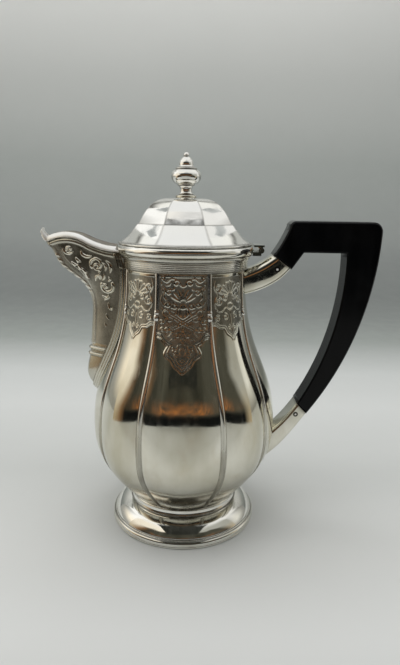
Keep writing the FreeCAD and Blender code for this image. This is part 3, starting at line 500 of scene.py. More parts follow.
def front_ornament():
    """Lambrequin of the wide panels: scrolls, shell, shield, crossed straps, wings and a hanging pendant."""
    art = Ornament()
    for wide, level, top, low, half, height in ((14.0, 158.9, 159.2, 128.4, 0.36, 0.16),
                                                (13.0, 158.0, 158.0, 129.0, 0.3, 0.13)):
        art.add([(-wide, level), (wide, level)], half, height)
        art.pair([(wide + 0.1, top), (wide + 0.1, low)], half, height)
    art.curls((3.5, 154.6, 1.9, 0.5, 190, -200, 0.48, 0.18), (10.9, 157.0, 1.2, 0.4, 250, -120, 0.4, 0.16),
              (7.6, 149.6, 1.6, 0.4, 120, -260, 0.42, 0.17), (0.0, 142.4, 1.2, 0.42, -20, 420, 0.42, 0.18),
              (4.7, 142.0, 1.6, 0.56, -20, 420, 0.42, 0.18), (8.4, 142.7, 1.5, 0.525, -20, 420, 0.42, 0.18),
              (11.8, 133.4, 1.3, 0.4, 200, -160, 0.42, 0.18), (8.6, 129.4, 1.5, 0.4, 200, -200, 0.44, 0.18),
              (11.4, 129.4, 1.3, 0.4, 210, -160, 0.44, 0.18), (2.5, 126.8, 1.4, 0.4, 160, -220, 0.42, 0.18),
              (4.6, 118.8, 1.6, 0.4, 60, 430, 0.42, 0.18), (3.4, 116.2, 1.2, 0.35, 140, -200, 0.38, 0.16))
    art.leaves(([(3.6, 156.4), (6.6, 156.9), (8.8, 155.2), (11.0, 156.2)], 18, 0.5, 0.18),
               ([(6.4, 155.6), (7.6, 153.6), (9.8, 153.4)], 10, 0.42, 0.16),
               ([(8.6, 145.0), (10.4, 147.6), (9.6, 150.6), (11.2, 152.6)], 18, 0.45, 0.17),
               ([(10.6, 142.4), (12.0, 145.4), (11.4, 148.4)], 14, 0.4, 0.15),
               ([(7.0, 138.4), (9.4, 140.2), (10.8, 138.0), (9.6, 134.8), (10.8, 132.6)], 24, 0.45, 0.17),
               ([(5.2, 135.0), (7.8, 134.4), (8.8, 136.6)], 12, 0.4, 0.16),
               ([(4.0, 126.8), (5.6, 128.6), (7.0, 126.6), (8.6, 125.6)], 16, 0.4, 0.16),
               ([(3.6, 124.6), (5.4, 124.9), (6.8, 123.4)], 10, 0.36, 0.15),
               ([(0.2, 123.0), (2.4, 121.6), (3.2, 119.4)], 12, 0.42, 0.17),
               ([(0.4, 120.8), (1.6, 118.4), (1.0, 116.6)], 12, 0.42, 0.17))
    art.add(spiral(0, 154.6, 1.7, 1.7, 200, 340, 14), 0.5, 0.18)
    art.rays((0, 144.0), 1.6, 7.6, (28, 49, 70, 90, 110, 131, 152), 10, 0.72, 0.2)
    shield = through([(0, 140.9), (2.2, 141.4), (3.2, 139.4), (2.5, 137.4), (0, 135.8)], 26)
    art.pair(shield, 0.42, 0.18)
    art.pair(shield * np.array([0.5, 1.0]), 0.3, 0.13)
    strap = through([(-7.6, 137.6), (-5.0, 136.4), (0.0, 133.4), (5.0, 130.8), (7.0, 129.8)], 30)
    art.double(strap, 1.25, 0.34, 0.16)
    art.rays((0, 129.2), 0.4, 1.7, range(18, 360, 72), 5, 0.5, 0.17)
    art.add(spiral(0, 124.6, 1.0, 0.9, 190, 530), 0.4, 0.17)
    upper_wing = through([(13.9, 127.2), (12.2, 126.8), (10.4, 124.4), (8.2, 122.9), (6.0, 121.8)], 28)
    art.pair(upper_wing, 0.44, 0.2)
    art.pair(through(LOWER_WING, 24), 0.4, 0.18)
    art.pair(through(PENDANT, 46), 0.44, 0.2)
    inner_pendant = through([(6.0, 121.8), (7.4, 119.4), (8.0, 117.2), (6.4, 115.9), (4.8, 114.3),
                             (3.6, 112.2), (1.9, 110.9), (0.0, 109.2)], 46)
    art.pair(inner_pendant, 0.38, 0.17)
    art.pair(through([(3.0, 114.8), (2.2, 112.9), (0.0, 111.4)], 14), 0.36, 0.16)
    art.add(ellipse(0, 113.9, 1.0, 0.8), 0.36, 0.16)
    for x, z, turn, wide in ((11.6, 150.6, 60, 1.2), (5.4, 151.6, 140, 1.0), (11.9, 140.2, 80, 1.1),
                             (5.6, 139.4, 20, 1.0), (4.4, 138.0, 120, 0.9), (10.2, 136.6, 40, 1.1),
                             (4.9, 133.2, 160, 1.0), (2.4, 131.6, 30, 1.0), (6.2, 128.2, 100, 1.0),
                             (10.4, 127.4, 20, 0.9), (2.4, 148.6, 90, 1.0), (12.0, 154.2, 90, 0.9)):
        ray, side = heading(turn) * wide, heading(turn + 90) * wide
        art.leaves(([(x, z) - ray, (x, z) + side * 0.45, (x, z) + ray], 8, 0.36, 0.15))
    return art


def diagonal_ornament():
    """Lappet of the slanting panels: shell, scrolls and a double edge that hangs to a point."""
    art = Ornament()
    for level in (158.8, 157.9):
        art.add([(-12.6, level), (12.6, level)], 0.34, 0.15)
    art.shell((0, 147.2), 7.6, 7)
    art.curls((3.4, 146.0, 2.2, 0.4, 150, -330, 0.42, 0.17), (8.4, 151.8, 2.3, 0.4, 260, -160, 0.42, 0.17),
              (8.2, 144.2, 2.5, 0.4, 100, 560, 0.42, 0.17), (4.0, 135.6, 2.1, 0.4, 80, 520, 0.42, 0.17),
              (9.2, 135.0, 1.9, 0.4, 120, -300, 0.4, 0.17), (2.2, 129.6, 1.4, 0.35, 100, 480, 0.36, 0.16))
    art.leaves(([(9.8, 156.4), (10.8, 152.6), (9.2, 148.0), (10.6, 143.6), (8.6, 138.8)], 28, 0.4, 0.16),
               ([(0.4, 138.6), (3.6, 140.6), (6.6, 138.4), (9.8, 139.6)], 18, 0.42, 0.17))
    art.add(ellipse(0, 141.4, 2.2, 1.7), 0.4, 0.17)
    art.add(through([(0, 138.6), (0, 127.0)], 8), 0.4, 0.16, True)
    art.double(through(LAPPET, 40), 1.2, 0.36, 0.16)
    return art


def front_ground(x, z):
    """Where the wide panels are matted: above the wings, and inside the pendant but for its fourth corner."""
    wing_x, wing_z = np.transpose(((0.0, 118.0),) + LOWER_WING[::-1])
    above = smooth((z - np.interp(np.abs(x), wing_x, wing_z)) / 0.8)
    half, level = np.transpose((PENDANT[:3] + PENDANT[4:])[::-1])
    pendant = smooth((np.interp(z, level, half) - np.abs(x)) / 0.6) * (z > level[0]) * (z < level[-1] + 0.2)
    return np.maximum(above, pendant) * smooth((14.4 - np.abs(x)) / 0.5)


def diagonal_ground(x, z):
    """Where the slanting panels are matted: above the lappet's edge but for its second corner."""
    edge_x, edge_z = np.transpose((LAPPET[:1] + LAPPET[2:])[::-1])
    return smooth((z - np.interp(np.abs(x), edge_x, edge_z)) / 0.8)


# Body: eight panels with half-round ribs between them
body_r, body_lobe, body_angle = (spline(BODY_Z, values) for values in (BODY_R, BODY_LOBE, BODY_ANGLE))
WIDE, SLIM, RIB = range(3)
OFF_PANEL = 99.0
PANEL_COLUMNS, RIB_COLUMNS = 97, 9
ORNATE_LOW = 100.0


def panel_arc(radius, middle, half, t):
    """Points of a panel seen from above in its own frame, outward along x."""
    curve = arc_radius(half, radius - middle)
    swing = np.arcsin(np.clip(half / curve, -1, 1))[:, None] * t
    return (radius - curve)[:, None] + curve[:, None] * np.cos(swing), curve[:, None] * np.sin(swing)


def body_grid(z, inset=0.0, ribs=True, panel_columns=PANEL_COLUMNS):
    """Ring of points for each height, with each point's sideways place and its column's kind and quarter."""
    radius = np.minimum(body_r(z), max(BODY_R)) - inset
    corner, turn = radius - body_lobe(z), np.radians(body_angle(z))
    half_rib = RIB_HALF if ribs else 0.0
    cosine, sine = np.cos(turn), np.sin(turn)
    near = corner * cosine + half_rib * sine, corner * sine - half_rib * cosine
    far = corner * cosine - half_rib * sine, corner * sine + half_rib * cosine
    t = np.linspace(-1, 1, panel_columns)
    root = math.sqrt(0.5)
    wide_x, wide_y = panel_arc(radius, *near, t)
    slim_x, slim_y = panel_arc(radius, (far[0] + far[1]) * root, (far[0] - far[1]) * root, t)
    wide = (wide_x, wide_y, wide_y)
    slim = ((slim_x - slim_y) * root, (slim_x + slim_y) * root, slim_y)
    if ribs:
        curve = arc_radius(RIB_HALF, RIB_HEIGHT)
        swing = math.asin(RIB_HALF / curve) * np.linspace(-1, 1, RIB_COLUMNS + 2)[1:-1]
        reach = corner[:, None] + (curve * np.cos(swing) - (curve - RIB_HEIGHT))
        slide = curve * np.sin(swing)
        rib_x = reach * cosine[:, None] - slide * sine[:, None]
        rib_y = reach * sine[:, None] + slide * cosine[:, None]
        off = np.full(rib_x.shape, OFF_PANEL)
        ribs_beside = (rib_x, rib_y, off, RIB), (rib_y[:, ::-1], rib_x[:, ::-1], off, RIB)
        parts = [(*wide, WIDE), ribs_beside[0], (*slim, SLIM), ribs_beside[1]]
    else:
        parts = [(*(item[:, :-1] for item in form), kind) for form, kind in ((wide, WIDE), (slim, SLIM))]
    rings, places, kinds, quarters = [], [], [], []
    for quarter, (along, aside) in enumerate(((1, 0), (0, 1), (-1, 0), (0, -1))):
        for x, y, side, kind in parts:
            level = np.broadcast_to(z[:, None], x.shape)
            rings.append(np.stack([x * along - y * aside, x * aside + y * along, level], axis=-1))
            places.append(side)
            kinds.append(np.full(x.shape[1], kind))
            quarters.append(np.full(x.shape[1], quarter))
    points, sideways = np.concatenate(rings, axis=1), np.concatenate(places, axis=1)
    return points, sideways, np.concatenate(kinds), np.concatenate(quarters)


def panel_ornament(place, heights, kind, quarter):
    """Relief and matted ground: alike on front and back, and alike on the four slanting panels."""
    relief, ground = np.zeros(place.shape), np.zeros(place.shape)
    for panel, numbers, art, matted in ((WIDE, (1, 3), front_ornament(), front_ground),
                                        (SLIM, range(4), diagonal_ornament(), diagonal_ground)):
        model = (kind == panel) & (quarter == 3)
        spots = place[:, model], heights[:, model]
        raised, dull = art.heights(*spots), matted(*spots)
        for number in numbers:
            columns = (kind == panel) & (quarter == number)
            relief[:, columns], ground[:, columns] = raised, dull
    return relief * np.where(kind == WIDE, 1.05 + 0.35 * smooth((130.0 - heights) / 8.0), 1.35), ground


def make_body():
    z = np.concatenate([np.linspace(ROOT, ORNATE_LOW, 64), np.linspace(ORNATE_LOW, NECK, 160)[1:]])
    outside, place, kind, quarter = body_grid(z)
    heights = np.broadcast_to(z[:, None], place.shape)
    relief, ground = panel_ornament(place, heights, kind, quarter)
    # Two small beads on each rib, and fine grain on the matted ground
    on_rib = np.broadcast_to(kind == RIB, place.shape)
    rib_bead = 0.3 * hump((heights - 135.6) / 1.4) + 0.2 * hump((heights - 138.4) / 0.9)
    relief = np.where(on_rib, rib_bead, relief)
    bare = ground * (1 - np.clip(relief / 0.12, 0, 1)) * ~on_rib
    grain = np.random.default_rng(5).uniform(-1, 1, place.shape)
    relief = relief + 0.004 * grain * bare
    outside = outside + normals(outside, True) * relief[..., None]
    # Dark ground, a seam on both sides of each rib, painted shade that darkens the lower belly, and dark rib
    # feet
    seam = most(*(np.roll(on_rib, step, axis=1) & ~on_rib for step in (-2, -1, 1, 2)))
    low_down = smooth((80.0 - heights) / 40.0)
    dark_ground = np.where(kind == SLIM, 0.76, 0.6) * (1 + 0.2 * grain) * bare
    patina = most(dark_ground + (0.3 + 0.35 * low_down) * seam,
                  0.34 * smooth((58.0 - heights) / 36.0), soft_line(heights, ROOT, 0.8, 0.75),
                  soft_line(heights, NECK, 0.5, 0.6))
    rib_feet = 0.62 * smooth((86.0 - heights) / 40.0)
    patina = np.where(on_rib, np.maximum(np.minimum(patina, 0.12), rib_feet), patina)
    inner_z = np.linspace(ROOT + 1.0, NECK, 70)
    inside = body_grid(inner_z, 0.9, False, 25)[0]
    count, around = outside.size // 3, inside.shape[1]
    faces = grid_faces(*place.shape, True) + grid_faces(len(inner_z), around, True, count, True)
    faces.append(list(range(count, count + around)))
    x, y, level = np.moveaxis(inside, -1, 0)
    # Painted shade inside the body: near black behind the spout's openings
    shaded_behind_spout = (x < -20) & (np.abs(y) < 7) & (level > 119) & (level < 151)
    # Painted highlight on the upper part of each rib
    bright = 0.8 * on_rib * smooth((heights - 70.0) / 20.0)
    fields = shell_fields(outside, inside, patina=(patina, np.where(shaded_behind_spout, 0.9, 0.15)),
                          matte=(0.12 * ground + 0.3 * on_rib, 0.5), bright=(bright, 0.0))
    build("body_skin", shell_points(outside, inside), faces, "pot", ["body_shell"], fields, 60)


make_body()


# Turned pieces
def make_collar():
    reeds, band_low, band_high, low_r, growth = 5, 159.9, 164.9, 36.45, 0.12
    corners = [(34.6, NECK, 0), (36.8, NECK, 0)]
    levels = np.linspace(band_low, band_high, reeds + 1)
    for index, (low, high) in enumerate(zip(levels, levels[1:])):
        corners += [(low_r + growth * index, low, 0.28), (low_r + 0.05 + growth * index, high, 0)]
    corners += [(37.3, 165.3, 0), (37.9, 165.5, -0.45), (39.2, 167.6, 0), (38.8, 167.95, 0),
                (39.0, 168.05, 0.2), (40.2, COLLAR_TOP, 0), (34.6, COLLAR_TOP, 0), (34.6, NECK, 0)]

    def dark(r, z):
        reeding = np.where((z > NECK) & (z < 165.0), 0.255 + 0.51 * smooth((37.0 - r) / 0.5), 0)
        hollow = 0.35 * smooth((z - 165.4) / 0.4) * smooth((167.8 - z) / 0.4)
        lines = soft_line(z, 165.35, 0.3, 0.8) + soft_line(z, 167.95, 0.25, 0.9)
        return np.where(r > 35, np.clip(most(reeding, lines, hollow), 0, 0.9), 0.1)
    turned("collar_ring", profile(corners, 0.1, 8), "pot", ["neck_collar"], dark, 0.3)


def make_foot():
    flare = profile([(42.2, RIM_TOP, 0), (43.5, RIM_TOP, 0), (43.4, 5.7, 0.25), (39.8, 10.6, 0.5),
                     (33.9, 13.4, 0), (33.1, 13.55, 0), (33.0, 14.0, -0.5), (32.5, 18.0, 0), (33.0, ROOT, 0),
                     (31.3, ROOT, 0.6), (32.1, 12.6, 0), (33.0, 11.3, -1.9), (42.2, RIM_TOP, 0)], 0.22, 26)

    def dark(r, z):
        step = 0.9 * np.exp(-(np.hypot(r - 33.2, z - 13.6) / 0.55) ** 2)
        return np.clip(most(step, soft_line(z, 18.4, 0.5, 0.7), soft_line(z, 5.3, 0.35, 0.85)), 0, 0.9)
    turned("foot_flare", flare, "pot", ["foot_pedestal"], dark, 0.6)
    ring = profile([(39.7, 0.0, 0), (44.9, 0.0, 0), (45.3, 0.5, 0.15), (45.2, 1.5, 0.55), (44.4, 4.3, 0),
                    (43.9, 4.5, 0.2), (43.5, RIM_TOP, 0), (39.7, RIM_TOP, 0), (39.7, 0.0, 0)], 0.15, 12)
    turned("foot_ring", ring, "pot", ["foot_rim"], dark_rings((4.4, 0.25, 0.75), (0.0, 0.5, 0.5)), 0.4)


def make_lid_ring():
    line = profile([(34.1, LID_LOW, 0), (40.2, LID_LOW, 0.4), (39.1, 173.0, 0), (38.8, 173.2, 0),
                    (39.3, 173.45, 0.22), (39.2, 174.3, 0), (38.6, LID_RIM_TOP, 0), (34.1, LID_RIM_TOP, 0),
                    (34.1, LID_LOW, 0)], 0.12, 12)

    def dark(r, z):
        lines = soft_line(z, 173.2, 0.2, 0.85) + soft_line(z, 174.45, 0.2, 0.8)
        return np.where(r > 38, np.clip(lines + soft_line(z, LID_LOW, 0.15, 0.3), 0, 0.85), 0.1)
    turned("lid_ring", line, "lid", ["lid_rim"], dark, 0.6)


def make_finial():
    ring = profile([(1.6, LID_TOP, 0), (5.5, LID_TOP, 0.55), (5.5, FINIAL_FOOT, 0), (1.6, FINIAL_FOOT, 0),
                    (1.6, LID_TOP, 0)], 0.12, 12)
    turned("finial_ring", ring, "lid", ["finial_collar"],
           dark_rings((LID_TOP, 0.4, 0.8), (FINIAL_FOOT, 0.3, 0.7)), steps=96)
    knob = profile([(0.0, 193.2, 0), (1.6, 193.2, 0), (1.6, FINIAL_FOOT, 0), (4.2, FINIAL_FOOT, 0),
                    (4.25, 201.7, -0.3), (3.4, 203.6, -0.3), (4.2, 206.2, 0), (4.9, 206.4, 0.2),
                    (4.9, 207.0, 0.85), (8.7, 211.2, 0.55), (7.1, 214.7, 0), (6.9, 215.0, 0), (6.1, 215.1, 0),
                    (6.0, 215.5, 0), (6.3, 215.6, 0.1), (6.2, 216.1, -0.35), (4.1, 217.5, 0.7),
                    (2.0, 222.0, 0), (1.25, 222.15, 0), (1.2, 222.5, 0.25), (1.6, 223.5, 0.35),
                    (0.02, 224.75, 0)], 0.1, 16)
    grooves = ((201.4, 0.35), (206.35, 0.3), (215.3, 0.4), (216.4, 0.4), (222.6, 0.3))
    dark = dark_rings(*((*groove, 0.85) for groove in grooves))
    turned("finial_turning", knob, "lid", ["finial_knob"], dark, 0.7, 128)


make_collar()
make_foot()
make_lid_ring()
make_finial()


# Lid: concave flare and convex dome with eight facets, crisp along their edges
FACETS, FACET_COLUMNS = 8, 22


def facet_rings(levels):
    """Rings of eight shallow arcs from (radius, height, share by which the corners stand further out)."""
    rings = []
    half_turn = math.radians(180 / FACETS)
    for radius, height, crown in levels:
        corner = radius * (1 + crown)
        half, middle = corner * math.sin(half_turn), corner * math.cos(half_turn)
        curve = arc_radius(half, radius - middle)
        swing = math.asin(min(half / curve, 1)) * np.linspace(-1, 1, FACET_COLUMNS + 1)[:-1]
        facet = np.stack([radius - curve + curve * np.cos(swing), curve * np.sin(swing)])
        turns = (heading(side * 360 / FACETS) for side in range(FACETS))
        ring = np.concatenate([np.array([(c, -s), (s, c)]) @ facet for c, s in turns], axis=1)
        rings.append(np.column_stack([*ring, np.full(ring.shape[1], height)]))
    return np.array(rings)


def make_lid():
    flare = through([(38.4, LID_RIM_TOP, 0.02), (33.2, 178.2, 0.045), (27.7, 184.6, 0.062)], 34)
    step = [(27.5, 184.85, 0.062), (26.8, 184.9, 0.064), (26.7, 185.15, 0.064)]
    dome = through([(26.6, 185.2, 0.064), (23.8, 190.2, 0.07), (19.8, 195.3, 0.072), (15.5, 198.1, 0.074),
                    (11.4, LID_TOP, 0.074)], 44)
    cap = [(8.0, 199.35, 0.05), (5.0, 199.4, 0.03)]
    outside = facet_rings([*flare, *step, *dome, *cap])
    inside = facet_rings([(38.2, LID_RIM_TOP, 0.0), (32.1, 178.2, 0.03), (25.6, 184.6, 0.055),
                          (23.1, 189.8, 0.06), (19.5, 195.0, 0.06), (15.5, 197.3, 0.06),
                          (11.4, 198.2, 0.06), (1.7, 198.2, 0.05)])
    rows, columns = outside.shape[:2]
    faces = grid_faces(rows, columns, True) + grid_faces(len(inside), columns, True, rows * columns, True)
    x, y, height = np.moveaxis(outside, -1, 0)
    patina = np.maximum(soft_line(height, LID_RIM_TOP, 0.5, 0.75) + soft_line(height, 184.95, 0.22, 0.6),
                        soft_line(np.hypot(x, y), 6.2, 0.9, 0.7))
    patina[:, ::FACET_COLUMNS] = np.maximum(patina[:, ::FACET_COLUMNS], 0.42)
    # Painted highlight over the whole outside of the lid
    fields = shell_fields(outside, inside, patina=(patina, 0.12), matte=(0.0, 0.5), bright=(0.8, 0.0))
    build("lid_skin", shell_points(outside, inside), faces, "lid", ["lid_dome"], fields, 5)


make_lid()


# Spout
SIDE_COLUMNS, NOSE_COLUMNS, SPOUT_ROWS = 110, 21, 330
SCROLLS_LOW, BEAD_HALF = 112.5, 1.05
MOULDING_DEPTH, MOULDING_HALF, MOULDING_HEIGHT, MOULDING_FOOT = 5.2, 1.35, 0.75, 6.6
FLUTES, FLUTE_HEIGHT = 2.5, 0.16
NOTCH_PITCH, NOTCH_HEIGHT, NOTCHES_LOW, NOTCHES_TOP = 3.1, 0.35, 140.0, 170.0
KEEL_HALF, KEEL_HEIGHT, BEVEL_DEPTH = 2.0, 0.25, 2.9
spout_reach, spout_spread, spout_nose = (spline(SPOUT_Z, values)
                                         for values in (SPOUT_REACH, SPOUT_SPREAD, SPOUT_NOSE))
rim_points = np.concatenate([bowed(first[:2], second[:2], -first[2], 16)
                             for first, second in zip(RIM_LINE, RIM_LINE[1:])])
rim_points = rim_points[np.argsort(rim_points[:, 0])]


def rim_height(x):
    return np.interp(x, rim_points[:, 0], rim_points[:, 1])


def side_arc(z, share, offset):
    """Points of the spout's far side at a share of its arc, from its root to its nose."""
    start = np.stack([np.full(np.shape(z), SPOUT_ROOT), spout_spread(z) + offset], axis=-1)
    stop = np.stack([NOSE_DEPTH - spout_reach(z) - offset, spout_nose(z) + offset / 2], axis=-1)
    chord = stop - start
    length = np.linalg.norm(chord, axis=-1)
    along = chord / length[..., None]
    outward = np.stack([along[..., 1], -along[..., 0]], axis=-1)
    outward = np.where(outward[..., 1:] < 0, -outward, outward)
    curve = arc_radius(length / 2, SPOUT_BOW)
    swing = np.arcsin(length / 2 / curve) * (2 * share - 1)
    rise = curve * np.cos(swing) - (curve - SPOUT_BOW)
    return (start + stop) / 2 + along * (curve * np.sin(swing))[..., None] + outward * rise[..., None]


def nose_arc(z, share, offset):
    """Points across the spout's nose, from its far side to its near side."""
    half, front = spout_nose(z) + offset / 2, NOSE_DEPTH - spout_reach(z) - offset
    curve = arc_radius(half, NOSE_DEPTH)
    swing = np.arcsin(np.clip(half / curve, -1, 1)) * (1 - 2 * share)
    return np.stack([front - (curve * np.cos(swing) - (curve - NOSE_DEPTH)), curve * np.sin(swing)], axis=-1)


def beyond_pot(x, y, z):
    """Distance from the pot that the spout grows out of: panel, collar above the neck, lid room on top."""
    level = np.clip(z, ROOT, NECK)
    radius, turn = body_r(level), np.radians(body_angle(level))
    corner = radius - body_lobe(level)
    curve = arc_radius(corner * np.sin(turn), radius - corner * np.cos(turn))
    panel = np.hypot(np.abs(x) - (radius - curve), y) - curve
    collar = np.hypot(x, y) - np.interp(z, [NECK, 165.5, COLLAR_TOP], [36.8, 38.4, 39.8])
    lid = np.hypot(x, y) - LID_ROOM
    return np.where(z < NECK, panel, np.where(z < COLLAR_TOP, collar, lid))


def leaving_share(offset):
    """Share of the side's arc at which it leaves the pot, as a function of height."""
    levels, shares = np.linspace(SPOUT_Z[0], SPOUT_Z[-1] + 1.0, 437), np.linspace(0, 1, 601)
    z, share = np.meshgrid(levels, shares, indexing="ij")
    spots = side_arc(z, share, offset)
    gap = beyond_pot(spots[..., 0], spots[..., 1], z) + np.where(z < COLLAR_TOP, 0.5, 0.0)
    first = np.where(gap.max(axis=1) > 0, np.argmax(gap > 0, axis=1), len(shares) - 1)
    return lambda height: np.interp(height, levels, shares[first])


def spout_surface(offset):
    """Grid of the spout from its far side over the nose to its near side, up to the rim's S line."""
    leave = leaving_share(offset)

    def side(z, share):
        first = leave(z)
        return side_arc(z, first + (1 - first) * share, offset)

    def nose(z, share):
        return nose_arc(z, share, offset)
    shares, across = np.linspace(0, 1, SIDE_COLUMNS), np.linspace(0, 1, NOSE_COLUMNS)[1:-1]
    columns = [(side, share, 1) for share in shares] + [(nose, share, 1) for share in across]
    columns += [(side, share, -1) for share in shares[::-1]]
    rise = np.linspace(0, 1, SPOUT_ROWS)
    points = np.zeros((SPOUT_ROWS, len(columns), 3))
    for index, (form, share, sign) in enumerate(columns):
        # The column's top is where it meets the rim, found step by step
        top = np.array(178.0)
        for _ in range(60):
            top = 0.6 * top + 0.4 * rim_height(form(top, share)[0])
        z = SPOUT_Z[0] + (top - SPOUT_Z[0]) * rise
        x, y = form(z, np.full(z.shape, share)).T
        points[:, index] = np.stack([x, y * sign, z], axis=-1)
    return points


def spout_scrolls():
    """Raised scrolls, leaves and flowers on the spout's side, in side view."""
    art = Ornament(mirror=False)
    art.leaves(([(-71.4, 170.6), (-70.6, 168.0), (-68.0, 166.8), (-65.2, 168.2)], 20, 0.95, 0.8),
               ([(-60.2, 169.4), (-59.8, 167.0), (-57.4, 165.6), (-53.6, 165.9)], 22, 1.2, 0.85),
               ([(-50.6, 158.8), (-49.4, 157.4), (-50.4, 156.6)], 10, 0.8, 0.8),
               ([(-45.9, 163.6), (-43.6, 161.8), (-42.8, 158.6), (-43.4, 156.4)], 18, 1.1, 0.85),
               ([(-47.4, 162.2), (-45.8, 159.8), (-46.2, 157.6)], 12, 0.8, 0.7),
               ([(-49.6, 156.0), (-49.2, 152.4)], 10, 1.5, 0.9),
               ([(-52.2, 151.4), (-51.8, 153.8), (-50.4, 155.0)], 10, 0.85, 0.75),
               ([(-46.8, 156.0), (-47.0, 153.6), (-48.4, 151.8)], 10, 0.85, 0.75),
               ([(-44.4, 154.2), (-43.4, 152.4), (-44.8, 151.4)], 10, 0.85, 0.75),
               ([(-48.6, 143.0), (-45.9, 141.4), (-43.6, 142.4)], 12, 0.85, 0.75),
               ([(-47.6, 140.0), (-45.4, 141.6), (-44.4, 144.0)], 12, 0.75, 0.7),
               ([(-44.6, 138.8), (-44.6, 136.2), (-43.2, 134.8), (-42.2, 136.2)], 16, 0.85, 0.8),
               ([(-46.6, 131.8), (-45.6, 129.8), (-44.6, 128.6)], 10, 0.75, 0.6),
               ([(-47.6, 126.4), (-46.6, 124.0)], 8, 0.6, 0.45))
    art.curls((-67.6, 169.4, 1.9, 0.4, 200, -170, 0.7, 0.75), (-51.4, 161.4, 3.5, 2.6, 215, -60, 1.0, 0.9),
              (-51.0, 160.4, 2.5, 0.6, -60, -330, 0.85, 0.85), (-45.0, 148.6, 3.7, 3.3, 165, 390, 1.15, 0.95),
              (-46.6, 148.0, 1.9, 0.5, 165, -150, 0.75, 0.8))
    for x, z, turn in ((-62.2, 163.6, -40), (-64.8, 161.4, -25), (-61.2, 159.4, -50), (-58.6, 157.4, -40),
                       (-57.2, 154.2, -60)):
        ray, side, spot = heading(turn), heading(turn - 90), np.array([x, z])
        art.leaves(([spot - ray * 2.0, spot + side * 0.6, spot + ray * 2.0], 12, 1.0, 0.8),
                   ([spot, spot + side * 1.9 + ray * 0.8], 6, 0.7, 0.65))
    stem = through([(-72.4, 168.6), (-70.2, 164.4), (-66.2, 160.6), (-61.8, 157.2), (-58.0, 152.2),
                    (-55.6, 147.0), (-54.2, 141.0), (-53.6, 132.0), (-54.0, 122.0), (-54.6, 113.4)], 60)
    art.add(stem, 0.45, 0.2)
    return art


def spout_faces(rows, columns):
    """Outside and inside of the spout, joined along the rim and along both edges at the pot."""
    count, top = rows * columns, (rows - 1) * columns
    faces = grid_faces(rows, columns, False, 0, True) + grid_faces(rows, columns, False, count)
    ends = [(top + column, top + column + 1) for column in range(columns - 1)]
    ends += [(row * columns + column, (row + 1) * columns + column)
             for row in range(rows - 1) for column in (0, columns - 1)]
    return faces + [[first, second, count + second, count + first] for first, second in ends]


def make_spout():
    outer, inner = spout_surface(0.0), spout_surface(-SPOUT_WALL)
    x, y, z = np.moveaxis(outer, -1, 0)
    surface = normals(outer, False)
    surface *= np.sign((surface[..., 1] * y).sum())
    below_rim, from_nose = rim_height(x) - z, x + spout_reach(z)
    gap = beyond_pot(x, y, np.minimum(z, COLLAR_TOP - 0.01))
    # Where each feature lies: rim band, moulding below it, border at the pot, keel, scrolls and beads
    in_band = smooth((RIM_DEPTH - below_rim) / 0.5)
    below_band = 1 - in_band
    moulding = hump((below_rim - MOULDING_DEPTH) / MOULDING_HALF)
    border = smooth((BORDER - gap) / 0.4)
    flutes = FLUTE_HEIGHT * np.cos(gap / BORDER * 2 * math.pi * FLUTES)
    upper = smooth((z - SCROLLS_LOW) / 0.8)
    keel = smooth((KEEL_HALF - (from_nose - NOSE_DEPTH)) / 0.5) * upper
    notches = NOTCH_HEIGHT * np.abs(np.sin(z * math.pi / NOTCH_PITCH))
    notches = notches * smooth((z - NOTCHES_LOW) / 8.0) * smooth((NOTCHES_TOP - z) / 4.0)
    clear = (1 - border) * smooth((below_rim - MOULDING_FOOT) / 0.5)
    detail = np.maximum(spout_scrolls().heights(x, z), notches * keel) * clear
    edging = (TRIM * 0.8 + flutes) * border * below_band * smooth((below_rim - 3.6) / 0.4)
    beads = most(*(TRIM * hump((z - level) / BEAD_HALF) * (1 - border) for level in BEADS))
    relief = most(MOULDING_HEIGHT * moulding * below_band, edging, beads, detail + KEEL_HEIGHT * keel * clear)
    relief = np.minimum(relief, TRIM)
    ground = upper * clear * (1 - np.clip(detail / 0.4, 0, 1))
    grain = np.random.default_rng(11).uniform(-1, 1, x.shape)
    relief = relief + 0.04 * grain * ground
    bevel = np.sin(np.clip(below_rim / BEVEL_DEPTH, 0, 1) * math.pi / 2)
    drawn = smooth((from_nose - 3.0) / 6.0)
    relief = relief + (bevel * (TRIM + drawn) - drawn - relief) * in_band
    # Dark ground, lighter near the nose, and dark lines beside the rim band, moulding, border and beads
    rim_lines = soft_line(below_rim, RIM_DEPTH + 0.25, 0.3) + soft_line(below_rim, MOULDING_FOOT + 0.15, 0.35)
    line = np.maximum(rim_lines, soft_line(gap, BORDER + 0.3, 0.45))
    tone_shift = 0.34 * smooth((9.0 - from_nose) / 7.0)
    bead_lines = most(*(soft_line(z, level, 0.4, 0.85) * (1 - border)
                        for level in (BEADS[0] - 1.3, sum(BEADS) / 2, BEADS[1] + 1.3)))
    patina = most((0.76 + 0.22 * smooth((z - 122.0) / 34.0) - tone_shift) * (1 + 0.18 * grain) * ground, 0.9 * line,
                  0.3 * border * (0.5 - flutes * 3), 0.35 * (1 - upper) * (1 - border), bead_lines,
                  0.35 * moulding * below_band)
    # Painted shade inside the spout that darkens with depth below the rim, and a painted highlight near the
    # rim inside and on the rim band outside
    shade_depth = smooth((rim_height(inner[..., 0]) - inner[..., 2] - 4.0) / 10.0)
    fields = shell_fields(outer, inner, patina=(np.clip(patina * below_band, 0, 0.95), 0.5 * shade_depth),
                          matte=(0.6 * ground + 1.5 * in_band, 2.0 - 0.8 * shade_depth),
                          bright=(0.9 * in_band, 0.9 * (1 - shade_depth)))
    points = shell_points(outer + surface * relief[..., None], inner)
    build("spout_skin", points, spout_faces(*x.shape), "pot",
          ["spout_shell", "spout_rim", "spout_border", "spout_band"], fields, 50)


make_spout()


# Handle: grip and sockets
GRIP_CHAMFER = 0.9


